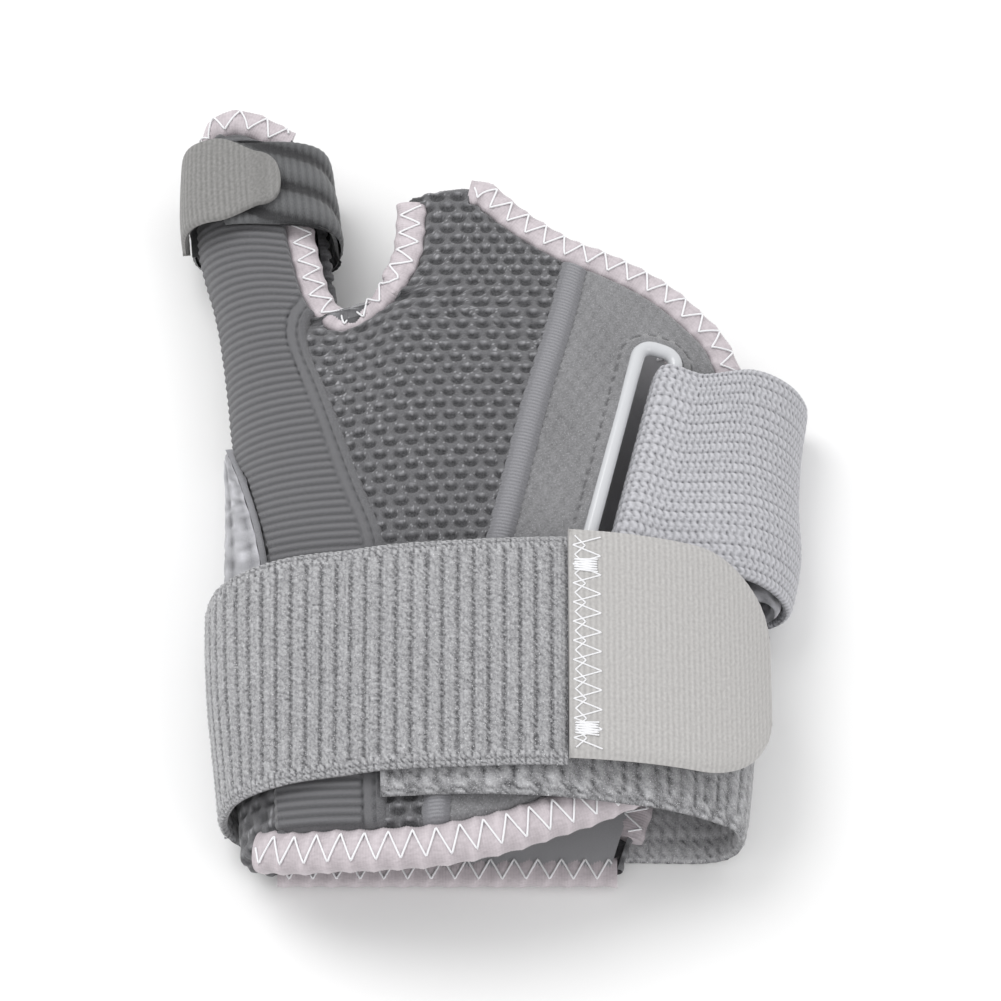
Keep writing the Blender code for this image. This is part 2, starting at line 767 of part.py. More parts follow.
# Build the pieces
ribbed = material("ribbed_knit", (0.155, 0.155, 0.16), 0.9)
mesh_cloth = material("air_mesh", (0.085, 0.085, 0.09), 0.85)
piping_cloth = material("piping_knit", (0.30, 0.30, 0.31), 0.85)
flannel_cloth = material("loop_flannel", (0.24, 0.24, 0.25), 0.95)
satin = material("satin_tape", (0.68, 0.63, 0.66), 0.5)
plastic = material("gloss_plastic", (0.60, 0.61, 0.62), 0.18)
elastic = material("grey_elastic", (0.36, 0.36, 0.38), 0.8)
hook = material("hook_tape", (0.48, 0.47, 0.46), 0.7)
thumb_cloth = material("thumb_elastic", (0.12, 0.12, 0.125), 0.85)
thumb_hook = material("thumb_hook_tape", (0.26, 0.255, 0.25), 0.75)

pocket = slab("stay_pocket", stay_pocket(), pocket_rise, sheet_thickness, ribbed)
palm = slab("palm_mesh_panel", mesh_panel(), 0.0, sheet_thickness, mesh_cloth)
strip = slab("panel_piping", piping(), 0.0004, sheet_thickness, piping_cloth)
ring_cloth = slab("ring_panel", flannel(), 0.0, sheet_thickness, flannel_cloth)
back = slab("back_sheet", back_grid(), sheet_thickness, 0.0, mesh_cloth, back_kept)

pocket_clearance = slab("pocket_seat", pocket_seat(), pocket_rise + 0.001,
                        sheet_thickness + 0.001, ribbed)
web, web_seat = bound_edge("web_binding", front_line(WEB_LINE, 40), binding_width,
                           binding_thickness, satin)
edge, edge_seat = bound_edge("palm_edge_binding", front_line(PALM_LINE, 44), binding_width,
                             binding_thickness, satin)
wrist, wrist_seat = bound_edge("wrist_front_binding", front_line(WRIST_LINE, 26),
                               wrist_binding_width, wrist_binding_thickness, satin)


def rim_line():
    grid = stay_pocket()
    out = normals(grid)
    shift = (pocket_rise - sheet_thickness) / 2
    return [p + n * shift for p, n in zip(grid[-1], out[-1])], out[-1]


def back_lines():
    grid = back_grid()
    up = Vector((0, 0, 1))
    half = Vector((0, 0, sheet_thickness / 2))
    base = [grid[0][j] + half for j in range(sheet_side_columns, len(grid[0]))]
    free = [row[-1] + half for row in grid[1:]]
    top = [grid[-1][j] + half for j in range(len(grid[0]) - 2, thumb_columns, -1)]
    return (curve_points(base, 16), [up] * 16), (curve_points(free + top, 30), [up] * 30)


rim, rim_seat = bound_edge("thumb_rim_binding", rim_line(), binding_width,
                           binding_thickness + pocket_rise, satin)
base_line, free_line = back_lines()
back_wrist, back_wrist_seat = bound_edge("wrist_back_binding", base_line, binding_width,
                                         back_binding_thickness, satin)
back_edge, back_edge_seat = bound_edge("back_edge_binding", free_line, binding_width,
                                       back_binding_thickness, satin)

ring = slot_ring(plastic)
slot = ring_slot_cutter(plastic)
half_strap = strap_thickness / 2
slab("ring_strap", ring_strap(), half_strap, half_strap, elastic)
slab("wrist_strap", wrist_strap(), half_strap, half_strap, elastic)
slab("wrist_strap_tab", wrist_tab(), tab_thickness / 2, tab_thickness / 2, hook)
half_thumb = thumb_strap_thickness / 2
slab("thumb_strap", thumb_rows(112, -176, 40, half_thumb), half_thumb, half_thumb, thumb_cloth)
slab("thumb_strap_tab", thumb_rows(182, 84, 18, thumb_strap_thickness * 1.5 + gap, 0.009),
     half_thumb, half_thumb, thumb_hook)

for piece, seats in ((pocket, (web_seat, rim_seat, wrist_seat)),
                     (palm, (web_seat, edge_seat, wrist_seat, pocket_clearance)),
                     (strip, (edge_seat, wrist_seat)),
                     (ring_cloth, (edge_seat, wrist_seat, slot)),
                     (back, (back_wrist_seat, back_edge_seat, wrist_seat, pocket_clearance))):
    for seat in seats:
        cut(piece, seat)

centre_on_floor()
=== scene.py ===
"""Looks of the thumb wrist support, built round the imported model. Lengths are in metres, and
pattern sizes in millimetres. X is right, Y runs from the wrist to the thumb tip."""

import math

import bpy
import numpy as np
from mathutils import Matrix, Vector


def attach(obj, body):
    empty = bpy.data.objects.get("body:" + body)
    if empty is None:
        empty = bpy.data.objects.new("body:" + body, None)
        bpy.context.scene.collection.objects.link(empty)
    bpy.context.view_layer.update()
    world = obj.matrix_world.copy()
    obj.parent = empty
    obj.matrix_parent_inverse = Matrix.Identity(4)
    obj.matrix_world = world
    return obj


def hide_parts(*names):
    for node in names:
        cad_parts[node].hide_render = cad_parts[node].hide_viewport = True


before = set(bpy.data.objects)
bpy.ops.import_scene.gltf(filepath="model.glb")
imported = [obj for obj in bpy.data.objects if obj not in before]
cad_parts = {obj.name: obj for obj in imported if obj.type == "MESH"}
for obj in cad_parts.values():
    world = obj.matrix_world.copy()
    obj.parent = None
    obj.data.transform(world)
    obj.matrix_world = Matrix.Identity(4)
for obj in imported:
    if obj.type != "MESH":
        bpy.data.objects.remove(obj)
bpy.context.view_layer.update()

# The source's own sizes, and the shift that centres its solids on the floor
shift = Vector((0.001875, -0.00331, 0.0))
body_length = 0.169
body_half_width = 0.053
body_height = 0.032
side_height = 0.009
under_height = 0.0045
crest_x = -0.004
thumb_height = 0.0195
sheet_thickness = 0.0028
pocket_rise = 0.0012
piping_width = 0.0035
gap = 0.0003

binding_width = 0.0064
binding_thickness = 0.0036
wrist_binding_width = 0.0085
wrist_binding_thickness = 0.0052
back_binding_thickness = 0.0032

strap_width = 0.047
strap_thickness = 0.0018
thumb_strap_width = 0.020
thumb_strap_thickness = 0.0016
tab_thickness = 0.0018
tab_length = 0.040
tab_start = 0.0131
tab_corner = 0.014
outer_near_y = -0.0662

ring_bar = 0.0029
ring_length = 0.0545
ring_corner = 0.0030
ring_width = 0.0081
ring_tilt = math.radians(13.5)
ring_across = 0.481
ring_along = 0.4817

wrist_y = -0.080


# Section table: share along the body, then shares of the named sizes
# along, left and right (body_half_width), top (body_height), under (under_height)
SECTIONS = (
    (0.00, 0.94, 0.83, 0.86, 0.47),
    (0.11, 0.97, 0.87, 0.94, 0.47),
    (0.24, 0.99, 0.90, 1.00, 1.00),
    (0.30, 0.99, 0.92, 1.00, 1.00),
    (0.34, 0.99, 1.01, 1.00, 1.00),
    (0.53, 1.00, 1.06, 1.00, 1.00),
    (0.63, 1.03, 1.11, 0.97, 1.00),
    (0.73, 1.08, 1.12, 0.91, 0.50),
    (0.83, 1.16, 1.12, 0.84, 0.47),
    (1.00, 1.17, 1.12, 0.80, 0.47),
)
LEFT, RIGHT, TOP, UNDER = 1, 2, 3, 4

# Thumb table: share along, crest and slit side (body_half_width), height (thumb_height)
THUMB = (
    (0.50, 0.80, 0.40, 1.20),
    (0.70, 0.84, 0.42, 1.12),
    (0.83, 0.94, 0.44, 1.02),
    (1.00, 1.03, 0.36, 1.00),
)

PIPING = ((0.00, -0.27), (0.07, -0.26), (0.38, -0.035), (0.49, 0.045), (0.565, 0.10),
          (0.665, 0.185), (0.78, 0.265))

# Binding centre lines: x as a share of body_half_width, share along the body
WEB_LINE = ((-0.815, 0.938), (-0.80, 0.90), (-0.775, 0.835), (-0.75, 0.796), (-0.712, 0.749),
            (-0.664, 0.719), (-0.604, 0.705), (-0.538, 0.707), (-0.47, 0.720), (-0.40, 0.746),
            (-0.362, 0.775), (-0.349, 0.811), (-0.345, 0.850))
PALM_LINE = ((-0.12, 0.868), (-0.06, 0.863), (0.01, 0.841), (0.11, 0.814), (0.255, 0.783),
             (0.41, 0.763), (0.59, 0.733), (0.72, 0.700), (0.84, 0.657), (0.89, 0.59),
             (0.86, 0.47), (0.77, 0.33), (0.66, 0.22), (0.60, 0.165))
WRIST_LINE = ((-0.885, 0.022), (-0.755, 0.009), (-0.60, 0.004), (-0.43, 0.001), (-0.215, 0.003),
              (0.0, 0.016), (0.16, 0.033), (0.32, 0.053), (0.45, 0.074), (0.55, 0.092))


def spline(rows, column, share):
    """Smooth value of one column of a table at a share of its first column."""
    if share <= rows[0][0]:
        return rows[0][column]
    if share >= rows[-1][0]:
        return rows[-1][column]
    k = 0
    while rows[k + 1][0] < share:
        k += 1
    x0, x1 = rows[k][0], rows[k + 1][0]
    y0, y1 = rows[k][column], rows[k + 1][column]
    slope = (y1 - y0) / (x1 - x0)
    before = (y0 - rows[k - 1][column]) / (x0 - rows[k - 1][0]) if k else slope
    after = (rows[k + 2][column] - y1) / (rows[k + 2][0] - x1) if k + 2 < len(rows) else slope
    m0 = (before + slope) / 2 if before * slope > 0 else 0.0
    m1 = (after + slope) / 2 if after * slope > 0 else 0.0
    t = (share - x0) / (x1 - x0)
    h = x1 - x0
    return ((2 * t ** 3 - 3 * t ** 2 + 1) * y0 + (t ** 3 - 2 * t ** 2 + t) * h * m0
            + (3 * t ** 2 - 2 * t ** 3) * y1 + (t ** 3 - t ** 2) * h * m1)


def smooth(t):
    t = min(1.0, max(0.0, t))
    return t * t * (3 - 2 * t)


def lerp(a, b, t):
    return a + (b - a) * t


def along(y):
    return (y - wrist_y) / body_length


def y_at(share):
    return wrist_y + share * body_length


def left_x(y):
    return -body_half_width * spline(SECTIONS, LEFT, along(y))


def right_x(y):
    return body_half_width * spline(SECTIONS, RIGHT, along(y))


def top_z(y):
    return body_height * spline(SECTIONS, TOP, along(y))


def under_z(y):
    return under_height * spline(SECTIONS, UNDER, along(y))


def border_x(rows, y):
    return body_half_width * spline(rows, 1, along(y))


def arch(share):
    return math.sqrt(max(0.0, 1 - share * share))


def dome_z(x, y):
    reach = left_x(y) if x < crest_x else right_x(y)
    share = (x - crest_x) / (reach - crest_x)
    return side_height + (top_z(y) - side_height) * arch(share)


def thumb_z(x, y):
    """Height of the front skin over the thumb, from its own crest."""
    share = along(y)
    crest = -body_half_width * spline(THUMB, 1, share)
    reach = left_x(y) if x < crest else crest + body_half_width * spline(THUMB, 2, share)
    height = thumb_height * spline(THUMB, 3, share)
    return side_height + (height - side_height) * arch((x - crest) / (reach - crest))


def front_z(x, y):
    """Outer skin of the front wing: the wrist's dome runs into the thumb on the left."""
    to_thumb = smooth((along(y) - 0.53) / 0.26) * smooth((-0.40 * body_half_width - x) / 0.012)
    return lerp(dome_z(x, y), thumb_z(x, y), to_thumb)


def skin(x, y):
    return Vector((x, y, front_z(x, y)))


def loop_point(y, turn):
    """Point on the loop round the body. turn 0 to 1 is the left side up to the crest, 1 to 2 the
    right side down, 2 to 2.5 the right turn, 2.5 to 3.5 the underside, 3.5 to 4 the left turn."""
    turn = turn % 4.0
    left, right, low = left_x(y), right_x(y), under_z(y)
    radius = side_height - low
    if turn <= 1:
        a = turn * math.pi / 2
        x = crest_x + (left - crest_x) * math.cos(a)
        return Vector((x, y, lerp(side_height, top_z(y), math.sin(a))))
    if turn <= 2:
        a = (2 - turn) * math.pi / 2
        x = crest_x + (right - crest_x) * math.cos(a)
        return Vector((x, y, lerp(side_height, top_z(y), math.sin(a))))
    if turn <= 2.5:
        a = (turn - 2) * math.pi
        return Vector((right - radius * (1 - math.cos(a)), y, side_height - radius * math.sin(a)))
    if turn <= 3.5:
        return Vector((lerp(right - radius, left + radius, turn - 2.5), y, low))
    a = (4 - turn) * math.pi
    return Vector((left + radius * (1 - math.cos(a)), y, side_height - radius * math.sin(a)))


def loop_turn(x, y):
    """Turn of the loop above plan position x on the front."""
    if x < crest_x:
        share = (x - crest_x) / (left_x(y) - crest_x)
        return math.acos(min(1.0, share)) * 2 / math.pi
    share = (x - crest_x) / (right_x(y) - crest_x)
    return 2 - math.acos(min(1.0, share)) * 2 / math.pi


def lifted(y, turn, lift, section_y=None):
    """Point of the loop moved outwards by lift, on the section of another y if one is given."""
    at = y if section_y is None else section_y
    here = loop_point(at, turn)
    step = loop_point(at, turn + 0.02) - loop_point(at, turn - 0.02)
    step.y = 0
    out = Vector((-step.z, 0, step.x)).normalized()
    return Vector((here.x, y, here.z)) + out * lift


def curve_points(points, count):
    """Evenly spaced points on a smooth curve through the given ones."""
    dense = []
    last = len(points) - 1
    for k in range(last):
        p0, p1 = points[max(k - 1, 0)], points[k]
        p2, p3 = points[k + 1], points[min(k + 2, last)]
        for n in range(12):
            t = n / 12
            dense.append(0.5 * (2 * p1 + (p2 - p0) * t + (2 * p0 - 5 * p1 + 4 * p2 - p3) * t ** 2
                                + (3 * p1 - p0 - 3 * p2 + p3) * t ** 3))
    dense.append(points[-1])
    lengths = [0.0]
    for a, b in zip(dense, dense[1:]):
        lengths.append(lengths[-1] + (b - a).length)
    result = []
    k = 0
    for n in range(count):
        goal = lengths[-1] * n / (count - 1)
        while k < len(dense) - 2 and lengths[k + 1] < goal:
            k += 1
        share = (goal - lengths[k]) / (lengths[k + 1] - lengths[k])
        result.append(dense[k].lerp(dense[k + 1], min(1.0, share)))
    return result


def front_line(rows, count):
    """Centre points of a binding on the front wing, and the skin's normals there."""
    flat = curve_points([Vector((x * body_half_width, y_at(s), 0)) for x, s in rows], count)
    centres, ups = [], []
    for p in flat:
        step = 0.0006
        here = skin(p.x, p.y)
        up = (skin(p.x + step, p.y) - skin(p.x - step, p.y)).cross(
            skin(p.x, p.y + step) - skin(p.x, p.y - step)).normalized()
        centres.append(here - up * sheet_thickness / 2)
        ups.append(up)
    return centres, ups


# More borders: share along, x as a share (STAY_EDGE of the way from crest to left side)
STAY_EDGE = ((0.00, 0.815), (0.05, 0.815), (0.367, 0.833), (0.444, 0.891), (0.50, 0.94),
             (0.534, 0.98), (0.57, 0.995))
POCKET_RIGHT = ((0.00, -0.43), (0.10, -0.44), (0.37, -0.45), (0.455, -0.54), (0.59, -0.68),
                (0.66, -0.755), (0.69, -0.765), (0.71, -0.735), (0.735, -0.705),
                (0.749, -0.712), (0.796, -0.75), (0.835, -0.775), (0.90, -0.80), (0.985, -0.83))
MESH_LEFT = ((0.00, -0.43), (0.10, -0.44), (0.37, -0.45), (0.455, -0.54), (0.59, -0.68),
             (0.66, -0.755), (0.69, -0.765), (0.705, -0.62), (0.708, -0.538), (0.720, -0.47),
             (0.746, -0.40), (0.775, -0.362), (0.811, -0.349), (0.86, -0.345))
FREE_EDGE = ((0.00, 0.42), (0.165, 0.60), (0.22, 0.66), (0.33, 0.77), (0.47, 0.86),
             (0.59, 0.89), (0.657, 0.84))
TIP = ((0.0, 0.955), (0.25, 0.985), (0.6, 0.990), (1.0, 0.965))
BACK_TOP = ((0.0, 0.858), (0.2, 0.84), (0.45, 0.79), (0.75, 0.74), (1.0, 0.64))
BACK_FREE = ((0.00, 0.40), (0.20, 0.60), (0.33, 0.73), (0.47, 0.82), (0.59, 0.85), (0.66, 0.82))
TROUGH_RIGHT = ((0.68, -0.61), (0.83, -0.665), (1.0, -0.75))
BACK_WEB = ((0.68, -0.58), (0.72, -0.50), (0.75, -0.42), (0.80, -0.37), (0.86, -0.36))


def stay_edge(y):
    return lerp(crest_x, left_x(y), spline(STAY_EDGE, 1, along(y)))


def base_share(x):
    return spline(WRIST_LINE, 1, x / body_half_width)


def front_grid(left, right, top, rows, columns, ease=False):
    """Grid of skin points between two borders, from the wrist line to the share top(u, x)."""
    grid = []
    for i in range(rows + 1):
        line = []
        for j in range(columns + 1):
            u = j / columns
            if ease:
                u = 1 - math.cos(u * math.pi / 2)
            base = base_share(lerp(left(wrist_y), right(wrist_y), u))
            share = lerp(base, top(j / columns), i / rows)
            y = y_at(share)
            line.append(skin(lerp(left(y), right(y), u), y))
        grid.append(line)
    return grid


def border(rows, shift=0.0):
    return lambda y: border_x(rows, y) + shift


def stay_pocket():
    return front_grid(stay_edge, border(POCKET_RIGHT, -gap / 2), lambda u: spline(TIP, 1, u),
                      40, 10, ease=True)


def mesh_panel():
    left, right = border(MESH_LEFT, gap / 2), border(PIPING, -gap / 2)
    tops = ((0.0, 0.858), (0.35, 0.866), (0.6, 0.83), (1.0, 0.783))
    return front_grid(left, right, lambda u: spline(tops, 1, u), 42, 8)


def piping():
    left, right = border(PIPING, gap / 2), border(PIPING, gap / 2 + piping_width)
    return front_grid(left, right, lambda u: lerp(0.783, 0.775, u), 24, 1)


def flannel():
    left = border(PIPING, 1.5 * gap + piping_width)
    tops = ((0.0, 0.773), (0.25, 0.757), (0.55, 0.725), (0.8, 0.69), (1.0, 0.657))
    return front_grid(left, border(FREE_EDGE), lambda u: spline(tops, 1, u), 24, 8)


low_rows = 12
high_rows = 8
side_steps = (0.0, 0.9, 0.6, 0.3, 0.08)
turn_steps = 3
sheet_side_columns = len(side_steps) + turn_steps
thumb_columns = sheet_side_columns + 3
palm_columns = 6


def back_point(i, j):
    """Point of the back sheet: columns run from the stay's edge round the left and underneath,
    rows from the wrist to the thumb tip or the palm edge, with the web between them."""
    low = min(i, low_rows) / low_rows
    high = max(0, i - low_rows) / high_rows
    if j > thumb_columns:
        u = (j - thumb_columns - 1) / (palm_columns - 1)
        top = spline(BACK_TOP, 1, u)
        share = lerp(low * top * 0.79, top, high)
        y = y_at(0.028 + share * (1 - 0.028 / 0.858))
        x = lerp(border_x(BACK_WEB, y), border_x(BACK_FREE, y), u)
        return Vector((x, y, under_z(y)))
    y = y_at(lerp(0.028 + low * (0.70 - 0.028), 0.93, high))
    left = left_x(y)
    if j == 0:
        edge = stay_edge(y)
        return skin(edge, y)
    if j < len(side_steps):
        return skin(lerp(left, stay_edge(y), side_steps[j]), y)
    if j <= sheet_side_columns:
        return loop_point(y, 4 - 0.5 * (j - len(side_steps)) / turn_steps)
    right = border_x(TROUGH_RIGHT, y)
    start = left + side_height - under_z(y)
    rise = smooth((along(y) - 0.62) / 0.16)
    if j == thumb_columns:
        return Vector((right, y, under_z(y) + 0.0075 * rise))
    shift = (j - sheet_side_columns) / (thumb_columns - sheet_side_columns)
    x = lerp(start, right - 0.0010 * rise, shift * 1.1)
    lift = 0.0014 * rise if j == thumb_columns - 1 else 0.0
    return Vector((x, y, under_z(y) + lift))


def back_grid():
    rows = low_rows + high_rows + 1
    columns = thumb_columns + palm_columns + 1
    return [[back_point(i, j) for j in range(columns)] for i in range(rows)]


def ring_frame():
    """Centre of the ring and its directions: along its bars, across, and out of the skin."""
    centre_x, centre_y = ring_across * body_half_width, y_at(ring_along)
    centre = skin(centre_x, centre_y)
    half = ring_length / 2
    dx, dy = math.sin(ring_tilt), math.cos(ring_tilt)
    far = skin(centre_x + dx * half, centre_y + dy * half)
    near = skin(centre_x - dx * half, centre_y - dy * half)
    right = skin(centre_x + dy * 0.006, centre_y - dx * 0.006)
    left = skin(centre_x - dy * 0.006, centre_y + dx * 0.006)
    u = (far - near).normalized()
    n = (right - left).cross(u).normalized()
    v = u.cross(n).normalized()
    middle = (far + near + right + left + centre) / 5
    return middle + n * 0.0003, u, v, n


def in_ring(u, v, n):
    centre, along_u, along_v, along_n = ring_frame()
    return centre + along_u * u + along_v * v + along_n * n


def ring_outline(extra):
    """Closed outline of the ring's centre line grown by extra, in ring coordinates."""
    radius = ring_corner + extra
    reach_u = ring_length / 2 - ring_corner
    reach_v = ring_width / 2 - ring_corner
    points = []
    for side_u, side_v, start in ((1, 1, 0), (-1, 1, 90), (-1, -1, 180), (1, -1, 270)):
        for k in range(5):
            a = math.radians(start + 22.5 * k)
            points.append((side_u * reach_u + radius * math.cos(a),
                           side_v * reach_v + radius * math.sin(a)))
    return points


# Wrist strap: turn round the body (or x on the front), near edge's y, lift at near and far edge
WRIST_INNER = (
    ("x", -0.0225, -0.0706, 0.0005, 0.0005),
    ("x", -0.0080, -0.0708, 0.0008, 0.0008),
    ("x", 0.0080, -0.0714, 0.0020, 0.0018),
    ("x", 0.0200, -0.0720, 0.0024, 0.0030),
    ("x", 0.0320, -0.0724, 0.0027, 0.0034),
    ("turn", 1.80, -0.0728, 0.0026, 0.0034),
    ("turn", 2.00, -0.0728, 0.0006, 0.0012),
    ("turn", 2.25, -0.0726, 0.0004, 0.0020),
    ("floor", 2.50, -0.0724, 0.0, 0.0),
    ("floor", 2.80, -0.0720, 0.0, 0.0),
    ("floor", 3.20, -0.0712, 0.0, 0.0),
    ("floor", 3.50, -0.0705, 0.0, 0.0),
    ("turn", 3.75, -0.0698, 0.0012, 0.0040),
    ("turn", 4.00, -0.0690, 0.0020, 0.0044),
    ("turn", 4.20, -0.0680, 0.0030, 0.0050),
    ("x", -0.0440, -0.0672, 0.0030, 0.0048),
    ("x", -0.0370, -0.0667, 0.0026, 0.0038),
    ("x", -0.0290, -0.0665, 0.0020, 0.0024),
    ("x", -0.0215, -0.0665, 0.0029, 0.0030),
    ("x", -0.0080, -0.0665, 0.0031, 0.0036),
    ("x", 0.0060, -0.0665, 0.0044, 0.0052),
    ("x", 0.0120, -0.0665, 0.0048, 0.0060),
)


def wrist_row(kind, place, near_y, near_lift, far_lift, columns=6):
    line = []
    for j in range(columns + 1):
        w = j / columns
        y = near_y + w * strap_width
        section = min(y, -0.030)
        lift = lerp(near_lift, far_lift, smooth(w)) + strap_thickness / 2
        turn = place if kind != "x" else loop_turn(place, section)
        point = lifted(y, turn, lift, section)
        if kind == "floor":
            point.z = strap_thickness / 2
        line.append(point)
    return line


def between(rows, k, j, t):
    """Point on a smooth curve down column j, a share t of the way from row k to the next."""
    p0, p1 = rows[max(k - 1, 0)][j], rows[k][j]
    p2, p3 = rows[k + 1][j], rows[min(k + 2, len(rows) - 1)][j]
    span = (p2 - p1).length
    m1 = (p2 - p0) * span / max((p1 - p0).length + span, 1e-9)
    m2 = (p3 - p1) * span / max((p3 - p2).length + span, 1e-9)
    return (p1 * (2 * t ** 3 - 3 * t ** 2 + 1) + m1 * (t ** 3 - 2 * t ** 2 + t)
            + p2 * (3 * t ** 2 - 2 * t ** 3) + m2 * (t ** 3 - t ** 2))


def smooth_rows(rows, step):
    """Rows at most a step apart on smooth curves through the given ones."""
    columns = len(rows[0])
    middle = columns // 2
    result = []
    last = len(rows) - 1
    for k in range(last):
        span = (rows[k + 1][middle] - rows[k][middle]).length
        parts = max(1, math.ceil(span / step))
        for n in range(parts):
            result.append([between(rows, k, j, n / parts) for j in range(columns)])
    result.append(rows[-1])
    for row in result:
        for point in row:
            point.z = max(point.z, strap_thickness / 2)
    return result


def wrist_strap():
    return smooth_rows([wrist_row(*row) for row in WRIST_INNER], 0.0048)


def tab_height(x, w):
    full = lerp(0.0376, 0.0412, w) - side_height
    share = (x - crest_x) / 0.060
    return side_height + full * math.sqrt(max(0.0, 1 - share ** 2.4))


# Ring strap: turn, far and near edge's y, lift; then what the outer layer adds to them
RING_INNER = (
    (4.00, 0.0142, -0.0328, 0.0010),
    (3.75, 0.0146, -0.0324, 0.0007),
    (3.50, 0.0150, -0.0320, 0.0006),
    (3.10, 0.0190, -0.0280, 0.0006),
    (2.80, 0.0235, -0.0240, 0.0006),
    (2.50, 0.0250, -0.0220, 0.0006),
    (2.25, 0.0250, -0.0220, 0.0003),
    (2.00, 0.0250, -0.0220, 0.0),
    (1.86, 0.0250, -0.0220, -0.0008),
    (1.74, 0.0250, -0.0220, -0.0056),
)
RING_OUTER = (
    (1.64, 0.0004, 0.0002, 0.0006),
    (1.80, 0.0002, 0.0, 0.0004),
    (2.00, 0.0, 0.0, 0.0001),
    (2.25, 0.0, 0.0, 0.0003),
)


def ring_strap():
    """Strap from the stay's edge, round the left, under the back, round the right, up through
    the ring, over its bar, round the right again and back underneath."""
    half = strap_thickness / 2
    far_y, near_y, tail_lift = 0.0250, -0.0220, 0.0027

    def row(turn, y_far, y_near, lift):
        line = []
        for j in range(5):
            w = j / 4
            y = lerp(y_near, y_far, w)
            section = max(y, -0.0225) if 1.0 < turn % 4 < 2.6 else y
            line.append(lifted(y, turn, lift + half, section))
        return line

    def start_row(share):
        line = []
        for j in range(5):
            y = lerp(-0.0340, 0.0140, j / 4)
            edge = stay_edge(y)
            turn = (loop_turn(edge, y) - 0.024) * share
            line.append(lifted(y, turn, 0.0009 + half))
        return line

    def ring_row(v, n):
        return [in_ring(lerp(-strap_width / 2, strap_width / 2, j / 4), v, n) for j in range(5)]

    bar_v = ring_width / 2
    wrap = ring_bar / 2 + gap + half
    outer = strap_thickness + gap * 1.5
    over_bar = [(bar_v + wrap * math.cos(math.radians(a)), wrap * math.sin(math.radians(a)))
                for a in (180, 158, 135, 112, 90)]
    rows = [start_row(share) for share in (1.0, 0.72, 0.42)]
    rows += [row(*place) for place in RING_INNER]
    rows += [ring_row(bar_v + v, n) for v, n in ((0.0100, -0.0072), (0.003, -0.0058),
                                                 (-wrap * 0.7, -0.0044), (-wrap * 1.03, -0.0020))]
    rows += [ring_row(v, n) for v, n in over_bar]
    rows.append(ring_row(bar_v + 0.005, 0.0025))
    rows += [row(turn, far_y + grow_far, near_y + grow_near, outer + lift)
             for turn, grow_far, grow_near, lift in RING_OUTER]
    rows += [row(turn, far_y, near_y, tail_lift) for turn in (2.50, 2.70, 2.88)]
    return smooth_rows(rows, 0.0045)


def thumb_loop(y, degrees, lift):
    """Point on the loop round the thumb, degrees from its right side over the top."""
    left = left_x(y) - 0.0009
    right = border_x(TROUGH_RIGHT, y) + 0.0012
    top = thumb_height + pocket_rise + 0.0012
    low = thumb_strap_thickness
    a = math.radians(degrees)
    c, s = math.cos(a), math.sin(a)
    power = 0.62
    x = (left + right) / 2 + math.copysign(abs(c) ** power, c) * ((right - left) / 2 + lift)
    z = (top + low) / 2 + math.copysign(abs(s) ** power, s) * ((top - low) / 2 + lift)
    return Vector((x, y, z))


def thumb_rows(first, last, count, lift, corner=0.0):
    near, far = 0.0606, 0.0606 + thumb_strap_width
    grid = []
    for i in range(count):
        degrees = lerp(first, last, i / (count - 1))
        inset = 0.0
        if corner:
            run = max(0.0, 1 - (count - 1 - i) / (count - 1) * 3.2)
            inset = corner * (1 - math.sqrt(max(0.0, 1 - run * run)))
        grid.append([thumb_loop(lerp(near + inset, far - inset, j / 4), degrees, lift)
                     for j in range(5)])
    return grid


def rim_line():
    """Centre points of the binding over the thumb tip, and the skin's normals there."""
    grid = stay_pocket()
    ups = [Vector(n) for n in outward(np.array([[tuple(p) for p in row] for row in grid]))[-1]]
    middle = (pocket_rise - sheet_thickness) / 2
    return [p + n * middle for p, n in zip(grid[-1], ups)], ups


def back_lines():
    """Lines of the two bindings of the underside: along the wrist, and round its free edge."""
    grid = back_grid()
    up = Vector((0, 0, 1))
    half = Vector((0, 0, sheet_thickness / 2))
    base = [grid[0][j] + half for j in range(sheet_side_columns, len(grid[0]))]
    free = [row[-1] + half for row in grid[1:]]
    top = [grid[-1][j] + half for j in range(len(grid[0]) - 2, thumb_columns, -1)]
    return (curve_points(base, 16), [up] * 16), (curve_points(free + top, 30), [up] * 30)


# Pattern sizes in millimetres
rib_pitch = 1.75
hole_across, hole_down = 4.3, 2.7
knit_row, knit_step = 2.3, 1.35
loop_row, loop_step = 3.0, 1.45
hook_pitch = 1.15
zigzag_pitch = 4.6
thread_radius = 0.00021
rng = np.random.default_rng(7)


def resample(grid, rows, columns):
    """Finer array of points on smooth curves through a grid of them."""
    points = np.array([[tuple(p) for p in row] for row in grid])
    for axis, count in ((0, rows), (1, columns)):
        p = np.moveaxis(points, axis, 0)
        last = len(p) - 1
        place = np.linspace(0, last, count)
        k = np.minimum(place.astype(int), last - 1)
        t = (place - k)[:, None, None]
        p0, p1, p2, p3 = p[np.maximum(k - 1, 0)], p[k], p[k + 1], p[np.minimum(k + 2, last)]
        p = 0.5 * (2 * p1 + (p2 - p0) * t + (2 * p0 - 5 * p1 + 4 * p2 - p3) * t ** 2
                   + (3 * p1 - p0 - 3 * p2 + p3) * t ** 3)
        points = np.moveaxis(p, 0, axis)
    return points


def outward(points, flip=False):
    """Unit normals of a grid of points."""
    across = np.gradient(points, axis=1)
    down = np.gradient(points, axis=0)
    result = np.cross(across, down)
    result /= np.maximum(np.linalg.norm(result, axis=2, keepdims=True), 1e-12)
    return -result if flip else result


